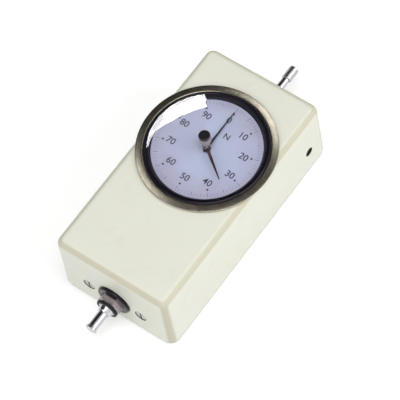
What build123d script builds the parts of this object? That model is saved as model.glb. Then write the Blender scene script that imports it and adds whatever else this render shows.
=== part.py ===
from build123d import *
import os
from math import acos, atan2, cos, degrees, pi, radians, sin, sqrt, tan

# Mechanical push-pull force gauge.
# +Y runs along the measuring shaft from the push end to the rear, +X is to the right seen from
# the push end with the dial up, +Z comes out of the dial. The origin lies on the back face, in
# the middle of the four stand holes. All lengths are in millimetres.

# ---------------------------------------------------------------- driving dimensions
# Housing
top_length = 150.0
roof_margin = 3.0
draft_angle = 1.0
wall = 3.0
cover_thickness = 2.0
cover_inset = 0.4
corner_excess = 1.5
edge_radius = 4.5
boss_radius = 4.5
cover_screw_radius = 1.4
cover_screw_head_radius = 2.9
cover_screw_length = 9.0
rib_thickness = 1.6
rib_depth = 2.5
rib_offset = 15.0

# Stand holes in the cover: tapped M5, so the hole is the tapping drill
stand_spacing_x = 56.0
stand_spacing_y = 80.0
stand_hole_radius = 2.1
stand_boss_radius = 4.2
stand_boss_height = 6.0

# Measuring shaft and its travel each way
travel = 10.0
shaft_radius = 3.0
barrel_radius = 4.0
flat_offset = 3.0
tip_stop_gap = 0.4
rear_reach = 26.0
rear_neck_radius = 2.4
rear_thread_length = 9.0
rear_neck_length = 6.5
tip_rim_width = 0.6
tip_rim_thickness = 1.4
tip_stud_radius = 1.5
tip_stud_length = 5.0

# Front and rear bushes with what is clamped on them
seat_depth = 0.3
bush_thread_radius = 6.0
bush_tube_wall = 1.15
bush_flange_radius = 9.0
bush_flange_thickness = 2.0
seal_neck_radius = 5.0
nose_lip = 0.65
nose_taper = 0.8
nose_length = 3.0
bore_relief = 0.4
land_length = 14.0
inner_land_length = 4.0
bush_end_chamfer = 0.5
flange_radius = 10.5
flange_thickness = 2.0
flange_edge_radius = 0.7
nut_wall = 0.7
nut_thickness = 4.5
nut_chamfer = 0.7
rear_nut_thickness = 3.0
seal_radius = 6.75
seal_thickness = 1.5
seal_edge_radius = 0.4

# Chassis
chassis_side_gap = 1.8
chassis_sheet = 2.5
chassis_floor_height = 3.5
chassis_bend_radius = 2.0
chassis_corner_radius = 4.0
chassis_window_length = 30.0
chassis_window_width = 14.0
chassis_window_corner = 3.0
end_screw_margin = 4.0
end_screw_drop = 1.5
end_screw_radius = 1.95
end_screw_head_radius = 3.4
end_screw_head_height = 1.3
end_screw_recess = 0.25
end_screw_excess = 0.5

# Springs, collars and guide
collar_radius = 8.0
collar_thickness = 3.0
collar_pin_radius = 0.75
spring_gap = 0.5
spring_wire_radial = 1.6
spring_wire_axial = 2.0
front_spring_pitch = 6.6
rear_spring_pitch = 5.0
adjuster_setback = 7.7
adjuster_radius = 8.5
adjuster_thickness = 5.0
adjuster_notch = 2.4
lock_screw_radius = 1.2
side_hole_radius = 2.9
guide_radius = 2.0
guide_drop = 7.5
guide_lug_radius = 3.4
guide_side_gap = 0.6
guide_floor_gap = 1.6

# Rack and gear train: the hand makes one turn for the full travel
pressure_angle = radians(20)
rack_pitch = 2.0
rack_line = 6.0
rack_height = 5.6
rack_end_length = 6.0
barrel_margin = 2.0
rack_screw_radius = 0.95
rack_pinion_teeth = 20
wheel_teeth = 48
hand_pinion_teeth = 12
wheel_module = 0.5
tooth_thinning = 0.06
arbor_radius = 1.5
arbor_hub_radius = 4.0
pinion_face = 6.0
wheel_face = 2.0
wheel_lift = 1.5
hand_pinion_face = 4.0
hub_height = 2.0
hand_spindle_radius = 1.2
collet_radius = 2.3
collet_height = 2.3
collet_lift = 0.6

# Movement plates
plate_thickness = 2.0
collar_headroom = 1.5
plate_gap = 10.0
plate_edge = 4.25
plate_front_margin = 9.5
plate_rear = 28.0
plate_corner_radius = 4.0
pillar_margin = 3.25
pillar_inset = 3.5
pillar_across_flats = 5.5
pillar_spigot_radius = 1.2
pillar_spigot_reach = 3.0
plate_window_x = 13.5
plate_window_length = 29.0
plate_window_width = 7.0
plate_screw_head_radius = 2.4
plate_screw_head_height = 1.4
plate_screw_reach = 4.0
hairspring_strip = 0.4
hairspring_width = 1.2
hairspring_coils = 4
hairspring_pitch = 1.5
stud_radius = 1.0

# Dial, crystal and bezel
dial_y = 18.4
case_wall = 0.8
case_shelf_width = 2.6
case_shelf_thickness = 1.0
case_ear_thickness = 1.5
case_ear_offset = 2.3
case_ear_radius = 3.4
case_screw_radius = 0.95
case_screw_head_radius = 1.9
case_screw_head_height = 1.2
case_hole_roof = 0.8
washer_thickness = 0.5
ring_skirt_thickness = 2.0
dial_radius = 32.9
dial_thickness = 0.6
dial_drop = 0.3
dial_hole_radius = 2.4
inner_ring_width = 1.2
inner_ring_height = 1.8
inner_ring_lip = 0.2
crystal_overlap = 1.1
crystal_edge = 1.0
crystal_centre = 1.5
crystal_rise = 2.9
crystal_ring_width = 2.2
crystal_ring_proud = 2.4
bezel_width = 4.35
bezel_height = 1.6
bezel_rim_height = 1.2
bezel_lift = 0.2

# Hands and reset knob
hand_height = 0.9
hand_thickness = 0.25
main_hand_length = 27.0
main_hand_tail = 3.0
main_hand_width = 1.5
main_hand_tip = 0.45
hand_hub_radius = 2.0
hand_hub_drop = 0.5
hand_hub_height = 1.3
set_hand_height = 2.3
set_hand_length = 22.0
set_hand_tail = 6.0
set_hand_width = 2.2
set_hand_tip = 0.6
set_hand_hub_radius = 2.0
set_hand_hub_height = 0.9
set_hand_angle = -126.0
drag_pin_radius = 0.35
drag_pin_reach = 11.0
knob_radius = 3.4
knob_height = 10.2
knob_foot_radius = 2.0
knob_foot_height = 4.4
knob_edge = 0.5
knob_spindle_radius = 1.45
knob_spindle_depth = 3.4
clip_radius = 2.3
clip_thickness = 0.25

# Shares that every slotted screw keeps, and how far a cut runs past a face
slot_share = 0.28
slot_depth_share = 0.5
cut_margin = 1.0
small_chamfer = 0.3

# Clearances
running = 0.05
fixed = 0.02
easy = 0.1
free = 0.3

# ---------------------------------------------------------------- derived places
# Dial stack: everything round the dial grows from the dial's own radius
inner_ring_foot_radius = dial_radius - inner_ring_width
crystal_radius = dial_radius + crystal_overlap
crystal_ring_radius = crystal_radius + crystal_ring_width
bezel_radius = crystal_ring_radius + easy + bezel_width
case_inner = crystal_radius + easy
case_outer = case_inner + case_wall
case_shelf_radius = case_inner - case_shelf_width
case_ear_reach = case_outer + case_ear_offset
opening_radius = case_outer + easy

# Heights, from the chassis floor up through the shaft and the movement to the roof
floor_top = chassis_floor_height + chassis_sheet
axis_height = floor_top + guide_floor_gap + guide_lug_radius + guide_drop
lower_plate_height = axis_height + collar_radius + collar_headroom
upper_plate_height = lower_plate_height + plate_thickness + plate_gap
case_bottom = upper_plate_height + plate_thickness + plate_screw_head_height + easy
roof_height = case_bottom + case_ear_thickness
body_height = roof_height + wall
chassis_wall_top = lower_plate_height + plate_thickness
end_screw_height = axis_height - end_screw_drop

# Housing: its face is as wide as the dial case with a margin on each side
top_width = 2 * (opening_radius + roof_margin)
corner_radius = edge_radius + corner_excess
shell_height = body_height - cover_thickness
draft = tan(radians(draft_angle))
base_length = top_length + 2 * shell_height * draft
base_width = top_width + 2 * shell_height * draft
boss_x = base_width / 2 - wall - boss_radius + 0.1 * boss_radius
boss_y = base_length / 2 - wall - boss_radius + 0.1 * boss_radius


def half_length_at(height):
    """Half the outer length of the drafted housing at a height."""
    return base_length / 2 - (height - cover_thickness) * draft


def half_width_at(height):
    """Half the outer width of the drafted housing at a height."""
    return base_width / 2 - (height - cover_thickness) * draft


seat_y = half_length_at(axis_height) - seat_depth
end_screw_y = half_length_at(end_screw_height) - end_screw_recess
inner_end = half_length_at(chassis_wall_top) - wall
chassis_end = inner_end - easy
chassis_inner = chassis_end - chassis_sheet

# Widths: the chassis lies between the stand bosses, the pillars and the guide rod inside it
chassis_width = stand_spacing_x - 2 * (stand_boss_radius + chassis_side_gap)
end_screw_offset = chassis_width / 2 - end_screw_margin
pillar_x = chassis_width / 2 - pillar_margin
plate_width = 2 * (pillar_x + plate_edge)
guide_x = pillar_x - pillar_across_flats / 2 - guide_side_gap - guide_lug_radius

shaft_axis = Axis((0, 0, axis_height), (0, 1, 0))
dial_axis = Axis((0, dial_y, 0), (0, 0, 1))
shaft_section = Plane((0, 0, axis_height), x_dir=(0, 1, 0), z_dir=(1, 0, 0))
dial_section = Plane((0, dial_y, 0), x_dir=(1, 0, 0), z_dir=(0, -1, 0))


def across(y, height=axis_height):
    """Plane square to the shaft; its x is +X, its y is +Z and it faces the push end."""
    return Plane((0, y, height), x_dir=(1, 0, 0), z_dir=(0, -1, 0))


# Shaft line
bore_radius = shaft_radius + running
bush_tube_radius = bore_radius + bore_relief + bush_tube_wall
nose_tip_radius = bore_radius + nose_lip
nose_radius = nose_tip_radius + nose_taper
tip_rim_radius = shaft_radius + tip_rim_width
spring_radius = bush_tube_radius + spring_gap + spring_wire_radial / 2
nut_across_flats = 2 * (bush_thread_radius + nut_wall)
flange_y = -seat_y
nut_y = flange_y - flange_thickness
seal_y = nut_y - nut_thickness
nose_y = seal_y - seal_thickness
nose_end = nose_y - nose_length
tip_seat = nose_end - travel - tip_stop_gap
tip_end = tip_seat - tip_rim_thickness
rear_end = seat_y + rear_reach
rear_thread_y = rear_end - rear_thread_length
rear_neck_y = rear_thread_y - rear_neck_length
bush_flange_y = chassis_inner - bush_flange_thickness
adjuster_y = bush_flange_y - adjuster_setback

# Gear train: the arbor stands beside the shaft, its wheel reaches the hand spindle on the dial axis
rack_module = rack_pitch / pi
rack_pinion_radius = rack_pinion_teeth * rack_module / 2
centre_distance = (wheel_teeth + hand_pinion_teeth) * wheel_module / 2
arbor_x = -(rack_line + rack_pinion_radius)
arbor_y = dial_y - sqrt(centre_distance**2 - arbor_x**2)
train_angle = degrees(atan2(dial_y - arbor_y, -arbor_x))
wheel_height = lower_plate_height + plate_thickness + wheel_lift
hand_pinion_height = wheel_height - (hand_pinion_face - wheel_face) / 2
collet_bottom = hand_pinion_height + hand_pinion_face + collet_lift
hairspring_height = collet_bottom + hairspring_width / 2

# Rack and collars: the rack stays in mesh with the pinion over the whole travel
rack_half_teeth = int((travel + rack_pinion_radius * 0.7) / rack_pitch) + 1
rack_tip = rack_line + rack_module
rack_root = rack_line - 1.25 * rack_module
rack_tooth_end = (rack_half_teeth + 0.5) * rack_pitch
rack_front = arbor_y - rack_tooth_end - rack_end_length
rack_rear = arbor_y + rack_tooth_end + rack_end_length
barrel_front = rack_front - barrel_margin
barrel_rear = rack_rear + barrel_margin
front_collar_y = barrel_front - collar_thickness
rear_collar_y = barrel_rear + collar_thickness
front_stop = front_collar_y - travel - free
rear_stop = rear_collar_y + travel + free
adjuster_front = adjuster_y - adjuster_thickness / 2
guide_height = axis_height - guide_drop

# Movement
plate_front = dial_y - arbor_y + wheel_teeth * wheel_module / 2 + plate_front_margin
pillar_places = [
    (side * pillar_x, dial_y + along)
    for side in (-1, 1)
    for along in (-plate_front + pillar_inset, plate_rear - pillar_inset)
]

hairspring_start = collet_radius + hairspring_strip / 2 + easy
hairspring_end = hairspring_start + hairspring_coils * hairspring_pitch
stud_place = (hairspring_end, dial_y + stud_radius + easy)

# Dial stack, from the case shelf up to the crown of the crystal
washer_bottom = case_bottom + case_shelf_thickness
ring_bottom = washer_bottom + washer_thickness + easy
ring_skirt_radius = crystal_radius
dial_top = body_height - dial_drop
dial_bottom = dial_top - dial_thickness
inner_ring_top = dial_top + inner_ring_height
crystal_under = inner_ring_top + crystal_rise - crystal_centre + crystal_edge
crystal_crown = inner_ring_top + crystal_edge + crystal_rise
case_ear_places = [
    (case_ear_reach * cos(radians(angle)), dial_y + case_ear_reach * sin(radians(angle)))
    for angle in (45, 135, 225, 315)
]
case_hole_depth = wall - case_hole_roof
ring_base = body_height + bezel_lift
ring_top = body_height + crystal_ring_proud
hand_level = dial_top + hand_height
set_hand_level = dial_top + set_hand_height
knob_bottom = crystal_crown + 0.2


def finish(piece, name):
    """Label a piece and write it to its own file."""
    piece.part.label = name
    export_step(piece.part, f"parts/{name}.step")


def screw_part(head_radius, head_height, shank_radius, length, countersunk=False, slotted=False):
    """A screw along -Z whose head has its top at the origin."""
    head_edge = [] if countersunk else [(head_radius, -head_height)]
    with BuildPart() as screw:
        with BuildSketch(Plane.XZ):
            Polygon((0, 0), (head_radius, 0), *head_edge, (shank_radius, -head_height),
                    (shank_radius, -length), (0, -length), align=None)
        revolve(axis=Axis.Z)
        if slotted:
            with BuildSketch():
                Rectangle(slot_share * head_radius, 2 * head_radius + cut_margin)
            extrude(amount=-slot_depth_share * head_height, mode=Mode.SUBTRACT)
    return screw.part


os.makedirs("parts", exist_ok=True)

# ---------------------------------------------------------------- housing and cover
with BuildPart() as housing:
    with BuildSketch(Plane.XY.offset(cover_thickness)):
        RectangleRounded(base_width, base_length, corner_radius)
    extrude(amount=shell_height, taper=draft_angle)
    fillet(housing.faces().sort_by(Axis.Z)[-1].edges(), edge_radius)
    # Hollow, open at the back
    with BuildSketch(Plane.XY.offset(cover_thickness)):
        RectangleRounded(base_width - 2 * wall, base_length - 2 * wall, corner_radius - wall)
    extrude(amount=shell_height - wall, taper=draft_angle, mode=Mode.SUBTRACT)
    # Corner bosses for the cover screws
    with BuildSketch(Plane.XY.offset(cover_thickness)):
        with GridLocations(2 * boss_x, 2 * boss_y, 2, 2):
            Circle(boss_radius)
    extrude(amount=roof_height - cover_thickness + wall / 4)
    with BuildSketch(Plane.XY.offset(cover_thickness)):
        with GridLocations(2 * boss_x, 2 * boss_y, 2, 2):
            Circle(cover_screw_radius + easy)
    extrude(amount=cover_screw_length - cover_thickness + cut_margin, mode=Mode.SUBTRACT)
    # Stiffening ribs under the roof, in front of the dial
    rib_rear = dial_y - opening_radius - wall
    rib_front = -half_length_at(roof_height) + wall
    with BuildSketch(Plane.XY.offset(roof_height - rib_depth)):
        with Locations((0, (rib_front + rib_rear) / 2)):
            with GridLocations(2 * rib_offset, 0, 2, 1):
                Rectangle(rib_thickness, rib_rear - rib_front + wall / 2)
    extrude(amount=rib_depth + wall / 4)
    # Opening for the dial case, with blind holes for its screws
    with BuildSketch(Plane.XY.offset(roof_height - cut_margin)):
        with Locations((0, dial_y)):
            Circle(opening_radius)
    extrude(amount=wall + 2 * cut_margin, mode=Mode.SUBTRACT)
    with BuildSketch(Plane.XY.offset(roof_height)):
        with Locations(*case_ear_places):
            Circle(case_screw_radius + running)
    extrude(amount=case_hole_depth, mode=Mode.SUBTRACT)
    # Spot faces and holes for the bushes, front and rear
    wall_cut_start = inner_end - 2 * cut_margin
    wall_cut = base_length / 2 + cut_margin - wall_cut_start
    for direction in (-1, 1):
        with BuildSketch(across(direction * seat_y)):
            Circle(flange_radius + free)
        extrude(amount=-direction * wall, mode=Mode.SUBTRACT)
        with BuildSketch(across(direction * wall_cut_start)):
            Circle(bush_thread_radius + easy)
        extrude(amount=-direction * wall_cut, mode=Mode.SUBTRACT)
        # Recessed holes for the screws that hold the chassis
        head_seat = end_screw_y - end_screw_head_height
        with BuildSketch(across(direction * head_seat, end_screw_height)):
            with GridLocations(2 * end_screw_offset, 0, 2, 1):
                Circle(end_screw_head_radius + free)
        extrude(amount=-direction * wall, mode=Mode.SUBTRACT)
        with BuildSketch(across(direction * wall_cut_start, end_screw_height)):
            with GridLocations(2 * end_screw_offset, 0, 2, 1):
                Circle(end_screw_radius + easy)
        extrude(amount=-direction * wall_cut, mode=Mode.SUBTRACT)
    # Access hole to the lock screw of the adjusting nut, in the right side wall
    side_cut_start = half_width_at(body_height) - wall - 2 * cut_margin
    with BuildSketch(Plane((side_cut_start, adjuster_y, axis_height), x_dir=(0, 1, 0),
                           z_dir=(1, 0, 0))):
        Circle(side_hole_radius)
    extrude(amount=base_width / 2 + cut_margin - side_cut_start, mode=Mode.SUBTRACT)
finish(housing, "housing")

with BuildPart() as back_cover:
    with BuildSketch():
        RectangleRounded(base_width - 2 * cover_inset, base_length - 2 * cover_inset,
                         corner_radius - cover_inset)
    extrude(amount=cover_thickness)
    chamfer(back_cover.faces().sort_by(Axis.Z)[0].edges(), small_chamfer)
    # Tapped bosses for a test stand
    with BuildSketch(Plane.XY.offset(cover_thickness)):
        with GridLocations(stand_spacing_x, stand_spacing_y, 2, 2):
            Circle(stand_boss_radius)
    extrude(amount=stand_boss_height)
    with BuildSketch():
        with GridLocations(stand_spacing_x, stand_spacing_y, 2, 2):
            Circle(stand_hole_radius)
    extrude(amount=cover_thickness + stand_boss_height, mode=Mode.SUBTRACT)
    # Countersunk holes for the cover screws
    with Locations(Plane.XY.rotated((180, 0, 0))):
        with GridLocations(2 * boss_x, 2 * boss_y, 2, 2):
            CounterSinkHole(cover_screw_radius + easy, cover_screw_head_radius + easy,
                            counter_sink_angle=90)
finish(back_cover, "back_cover")

cover_screw = screw_part(cover_screw_head_radius, cover_screw_head_radius - cover_screw_radius,
                         cover_screw_radius, cover_screw_length, countersunk=True, slotted=True)
with BuildPart() as cover_screws:
    with Locations(Plane.XY.rotated((180, 0, 0))):
        with GridLocations(2 * boss_x, 2 * boss_y, 2, 2):
            add(cover_screw)
finish(cover_screws, "cover_screws")

# ---------------------------------------------------------------- chassis
with BuildPart() as chassis:
    with BuildSketch(Plane.YZ):
        with BuildLine():
            Polyline((-chassis_end, chassis_wall_top), (-chassis_end, chassis_floor_height),
                     (chassis_end, chassis_floor_height), (chassis_end, chassis_wall_top),
                     (chassis_inner, chassis_wall_top), (chassis_inner, floor_top),
                     (-chassis_inner, floor_top), (-chassis_inner, chassis_wall_top), close=True)
        make_face()
    extrude(amount=chassis_width / 2, both=True)
    bends = chassis.edges().filter_by(Axis.X).group_by(Axis.Z)
    fillet(bends[0], chassis_bend_radius + chassis_sheet)
    fillet(chassis.edges().filter_by(Axis.X).filter_by_position(
        Axis.Z, floor_top - fixed, floor_top + fixed), chassis_bend_radius)
    fillet(chassis.edges().filter_by(Axis.Y).group_by(Axis.Z)[-1], chassis_corner_radius)
    # Bush holes, guide rod holes and tapped screw holes in the two end walls
    for direction in (-1, 1):
        with BuildSketch(across(direction * (chassis_inner - cut_margin))):
            Circle(bush_thread_radius + easy)
        extrude(amount=-direction * (chassis_sheet + 2 * cut_margin), mode=Mode.SUBTRACT)
        with BuildSketch(across(direction * (chassis_inner - cut_margin), guide_height)):
            with Locations((guide_x, 0)):
                Circle(guide_radius + running)
        extrude(amount=-direction * (chassis_sheet + 2 * cut_margin), mode=Mode.SUBTRACT)
        with BuildSketch(across(direction * (chassis_inner - cut_margin), end_screw_height)):
            with GridLocations(2 * end_screw_offset, 0, 2, 1):
                Circle(end_screw_radius + fixed)
        extrude(amount=-direction * (chassis_sheet + 2 * cut_margin), mode=Mode.SUBTRACT)
    # Lightening windows, the arbor's lower bearing and the holes for the pillar spigots
    window_y = (chassis_inner + max(abs(rack_front), abs(rack_rear))) / 2
    with BuildSketch(Plane.XY.offset(chassis_floor_height)):
        with Locations((0, -window_y), (0, window_y)):
            RectangleRounded(chassis_window_width, chassis_window_length, chassis_window_corner)
        with Locations((arbor_x, arbor_y)):
            Circle(arbor_radius + running)
        with Locations(*pillar_places):
            Circle(pillar_spigot_radius + fixed)
    extrude(amount=chassis_sheet, mode=Mode.SUBTRACT)
finish(chassis, "chassis")

end_screw = screw_part(end_screw_head_radius, end_screw_head_height, end_screw_radius,
                       end_screw_y - chassis_inner + end_screw_excess, slotted=True)
for name, direction in (("front_screws", -1), ("rear_screws", 1)):
    seat = Plane((0, direction * end_screw_y, end_screw_height), x_dir=(-direction, 0, 0),
                 z_dir=(0, direction, 0))
    with BuildPart() as end_screws:
        with Locations(seat):
            with GridLocations(2 * end_screw_offset, 0, 2, 1):
                add(end_screw)
    finish(end_screws, name)

# ---------------------------------------------------------------- bushes and their nuts
with BuildPart() as front_bush:
    with BuildSketch(shaft_section):
        Polygon(
            (front_stop, bore_radius), (front_stop, bush_tube_radius),
            (-bush_flange_y, bush_tube_radius), (-bush_flange_y, bush_flange_radius),
            (-chassis_inner, bush_flange_radius), (-chassis_inner, bush_thread_radius),
            (seal_y, bush_thread_radius), (seal_y, seal_neck_radius),
            (nose_y, seal_neck_radius), (nose_y, nose_radius),
            (nose_end + nose_taper, nose_tip_radius + 2 * easy),
            (nose_end, nose_tip_radius - small_chamfer),
            (nose_end, bore_radius), (nose_end + land_length, bore_radius),
            (nose_end + land_length, bore_radius + bore_relief),
            (front_stop - inner_land_length, bore_radius + bore_relief),
            (front_stop - inner_land_length, bore_radius),
            align=None)
    revolve(axis=shaft_axis)
finish(front_bush, "front_bush")

with BuildPart() as rear_bush:
    bush_end = seat_y + rear_nut_thickness + 2 * bush_end_chamfer
    rear_land_y = bush_flange_y
    with BuildSketch(shaft_section):
        Polygon(
            (rear_stop, bore_radius), (rear_stop, bush_tube_radius),
            (bush_flange_y, bush_tube_radius), (bush_flange_y, bush_flange_radius),
            (chassis_inner, bush_flange_radius), (chassis_inner, bush_thread_radius),
            (bush_end - bush_end_chamfer, bush_thread_radius),
            (bush_end, bush_thread_radius - bush_end_chamfer), (bush_end, bore_radius),
            (rear_land_y, bore_radius), (rear_land_y, bore_radius + bore_relief),
            (rear_stop + inner_land_length, bore_radius + bore_relief),
            (rear_stop + inner_land_length, bore_radius),
            align=None)
    revolve(axis=shaft_axis)
finish(rear_bush, "rear_bush")

with BuildPart() as front_flange:
    with BuildSketch(across(flange_y)):
        Circle(flange_radius)
        Circle(bush_thread_radius + running, mode=Mode.SUBTRACT)
    extrude(amount=flange_thickness)
    fillet(front_flange.faces().sort_by(Axis.Y)[0].edges().sort_by(SortBy.LENGTH)[-1],
           flange_edge_radius)
finish(front_flange, "front_flange")


def hexagon_nut(face_y, thickness, direction):
    """Hexagon nut on a bush thread, chamfered on its outer face; direction points outward."""
    corner = nut_across_flats / sqrt(3)
    outer_y = face_y + direction * thickness
    with BuildPart() as nut:
        with BuildSketch(across(face_y)):
            RegularPolygon(nut_across_flats / 2, 6, major_radius=False)
            Circle(bush_thread_radius + running, mode=Mode.SUBTRACT)
        extrude(amount=-direction * thickness)
        with BuildSketch(shaft_section):
            Polygon((face_y, 0), (face_y, corner + easy),
                    (outer_y - direction * nut_chamfer, corner + easy),
                    (outer_y, nut_across_flats / 2 - 2 * easy), (outer_y, 0), align=None)
        revolve(axis=shaft_axis, mode=Mode.INTERSECT)
    return nut


finish(hexagon_nut(nut_y, nut_thickness, -1), "front_nut")
finish(hexagon_nut(seat_y, rear_nut_thickness, 1), "rear_nut")

with BuildPart() as front_seal:
    with BuildSketch(across(seal_y)):
        Circle(seal_radius)
        Circle(seal_neck_radius + running, mode=Mode.SUBTRACT)
    extrude(amount=seal_thickness)
    fillet(front_seal.faces().sort_by(Axis.Y)[0].edges().sort_by(SortBy.LENGTH)[-1],
           seal_edge_radius)
finish(front_seal, "front_seal")

# ---------------------------------------------------------------- adjusting nut and guide rod
with BuildPart() as adjusting_nut:
    with BuildSketch(across(adjuster_front)):
        Circle(adjuster_radius)
        Circle(bush_tube_radius + running, mode=Mode.SUBTRACT)
        with PolarLocations(adjuster_radius, 4, start_angle=45):
            Rectangle(adjuster_notch, adjuster_notch, mode=Mode.SUBTRACT)
    extrude(amount=-adjuster_thickness)
    with BuildSketch(Plane((bush_tube_radius - 1, adjuster_y, axis_height), x_dir=(0, 1, 0),
                           z_dir=(1, 0, 0))):
        Circle(lock_screw_radius + fixed)
    extrude(amount=adjuster_radius, mode=Mode.SUBTRACT)
finish(adjusting_nut, "adjusting_nut")

with BuildPart() as lock_screw:
    with BuildSketch(Plane((bush_tube_radius + running, adjuster_y, axis_height),
                           x_dir=(0, 1, 0), z_dir=(1, 0, 0))):
        Circle(lock_screw_radius)
    extrude(amount=adjuster_radius - bush_tube_radius - free)
    with BuildSketch(lock_screw.faces().sort_by(Axis.X)[-1]):
        RegularPolygon(0.5 * lock_screw_radius, 6)
    extrude(amount=-1.2, mode=Mode.SUBTRACT)
finish(lock_screw, "lock_screw")

with BuildPart() as guide_rod:
    with BuildSketch(across(-chassis_end + easy, guide_height)):
        with Locations((guide_x, 0)):
            Circle(guide_radius)
    extrude(amount=-2 * (chassis_end - easy))
    chamfer(guide_rod.edges().filter_by(GeomType.CIRCLE), small_chamfer)
finish(guide_rod, "guide_rod")

# ---------------------------------------------------------------- measuring shaft
rack_screw_places = [rack_front + rack_end_length / 2, rack_rear - rack_end_length / 2]
collar_middles = [front_collar_y + collar_thickness / 2, rear_collar_y - collar_thickness / 2]

with BuildPart() as measuring_shaft:
    with BuildSketch(shaft_section):
        Polygon(
            (tip_seat, 0), (tip_seat, shaft_radius - 0.2), (tip_seat + 0.2, shaft_radius),
            (barrel_front, shaft_radius), (barrel_front, barrel_radius),
            (barrel_rear, barrel_radius), (barrel_rear, shaft_radius),
            (rear_neck_y, shaft_radius), (rear_neck_y, rear_neck_radius),
            (rear_thread_y, rear_neck_radius), (rear_thread_y, shaft_radius - 0.3),
            (rear_thread_y + 0.3, shaft_radius), (rear_end - 0.6, shaft_radius),
            (rear_end, shaft_radius - 0.6), (rear_end, 0), align=None)
    revolve(axis=shaft_axis)
    # Bore for the push tip's stud
    with BuildSketch(across(tip_seat)):
        Circle(tip_stud_radius + fixed)
    extrude(amount=-(tip_stud_length + 0.5), mode=Mode.SUBTRACT)
    # Flat that the rack is screwed to, and its two tapped holes
    with BuildSketch(Plane((-flat_offset, 0, axis_height), x_dir=(0, 1, 0), z_dir=(-1, 0, 0))):
        with Locations(((rack_front + rack_rear) / 2, 0)):
            Rectangle(rack_rear - rack_front + 1, 3 * barrel_radius)
    extrude(amount=barrel_radius, mode=Mode.SUBTRACT)
    with BuildSketch(Plane((-flat_offset, 0, axis_height), x_dir=(0, 1, 0), z_dir=(-1, 0, 0))):
        with Locations(*[(y, 0) for y in rack_screw_places]):
            Circle(rack_screw_radius + fixed)
    extrude(amount=-(flat_offset + 0.2), mode=Mode.SUBTRACT)
    # Cross holes for the collar pins
    with BuildSketch(Plane.XY.offset(axis_height)):
        with Locations(*[(0, y) for y in collar_middles]):
            Circle(collar_pin_radius + fixed)
    extrude(amount=2 * shaft_radius, both=True, mode=Mode.SUBTRACT)
finish(measuring_shaft, "measuring_shaft")

with BuildPart() as push_tip:
    with BuildSketch(shaft_section):
        Polygon((tip_end, 0), (tip_end, tip_rim_radius - 0.4), (tip_end + 0.4, tip_rim_radius),
                (tip_seat - 0.3, tip_rim_radius), (tip_seat, tip_rim_radius - 0.3),
                (tip_seat, tip_stud_radius), (tip_seat + tip_stud_length, tip_stud_radius),
                (tip_seat + tip_stud_length, 0), align=None)
    revolve(axis=shaft_axis)
finish(push_tip, "push_tip")

# The front collar has a lug that slides on the guide rod, so the shaft can't turn
with BuildPart() as front_collar:
    with BuildSketch(across(front_collar_y + collar_thickness)):
        lug_angle = degrees(atan2(-guide_drop, guide_x))
        lug_reach = sqrt(guide_x**2 + guide_drop**2)
        Circle(collar_radius)
        with Locations((guide_x / 2, -guide_drop / 2)):
            Rectangle(lug_reach, 2 * guide_lug_radius, rotation=lug_angle)
        with Locations((guide_x, -guide_drop)):
            Circle(guide_lug_radius)
            Circle(guide_radius + running, mode=Mode.SUBTRACT)
        Circle(shaft_radius + fixed, mode=Mode.SUBTRACT)
    extrude(amount=collar_thickness)
    with BuildSketch(Plane.XY.offset(axis_height)):
        with Locations((0, collar_middles[0])):
            Circle(collar_pin_radius + fixed)
    extrude(amount=2 * collar_radius, both=True, mode=Mode.SUBTRACT)
finish(front_collar, "front_collar")

with BuildPart() as rear_collar:
    with BuildSketch(across(rear_collar_y)):
        Circle(collar_radius)
        Circle(shaft_radius + fixed, mode=Mode.SUBTRACT)
    extrude(amount=collar_thickness)
    with BuildSketch(Plane.XY.offset(axis_height)):
        with Locations((0, collar_middles[1])):
            Circle(collar_pin_radius + fixed)
    extrude(amount=2 * collar_radius, both=True, mode=Mode.SUBTRACT)
finish(rear_collar, "rear_collar")

with BuildPart() as collar_pins:
    with BuildSketch(Plane.XY.offset(axis_height - collar_radius + free)):
        with Locations(*[(0, y) for y in collar_middles]):
            Circle(collar_pin_radius)
    extrude(amount=2 * (collar_radius - free))
finish(collar_pins, "collar_pins")

# ---------------------------------------------------------------- measuring springs


def flat_wire_spring(start_y, end_y, pitch):
    """Compression spring of flat wire round the shaft, between two seats."""
    lead = spring_wire_axial / 2 + running
    with BuildPart() as spring:
        with BuildLine() as coil:
            Helix(pitch, end_y - start_y - 2 * lead, spring_radius,
                  center=(0, start_y + lead, axis_height), direction=(0, 1, 0))
        start = coil.line @ 0
        outward = Vector(start.X, 0, start.Z - axis_height)
        with BuildSketch(Plane(start, x_dir=outward, z_dir=coil.line % 0)):
            Rectangle(spring_wire_radial, spring_wire_axial)
        sweep(path=coil.line, is_frenet=True)
    return spring


finish(flat_wire_spring(-bush_flange_y, front_collar_y, front_spring_pitch), "front_spring")
finish(flat_wire_spring(rear_collar_y, adjuster_front, rear_spring_pitch), "rear_spring")

# ---------------------------------------------------------------- rack
with BuildPart() as rack:
    slope = tan(pressure_angle)
    half_land = rack_pitch / 4 - tooth_thinning / 2
    half_tip = half_land - (rack_tip - rack_line) * slope
    half_root = half_land + (rack_line - rack_root) * slope
    outline = [(-flat_offset, rack_front), (-rack_root, rack_front)]
    for tooth in range(-rack_half_teeth, rack_half_teeth + 1):
        middle = arbor_y + tooth * rack_pitch
        outline += [(-rack_root, middle - half_root), (-rack_tip, middle - half_tip),
                    (-rack_tip, middle + half_tip), (-rack_root, middle + half_root)]
    outline += [(-rack_root, rack_rear), (-flat_offset, rack_rear)]
    with BuildSketch(Plane.XY.offset(axis_height - rack_height / 2)):
        Polygon(*outline, align=None)
    extrude(amount=rack_height)
    with Locations(*[Plane((-rack_root, y, axis_height), x_dir=(0, 1, 0), z_dir=(-1, 0, 0))
                     for y in rack_screw_places]):
        CounterSinkHole(rack_screw_radius + running, rack_screw_radius * 2, counter_sink_angle=90)
finish(rack, "rack")

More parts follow.
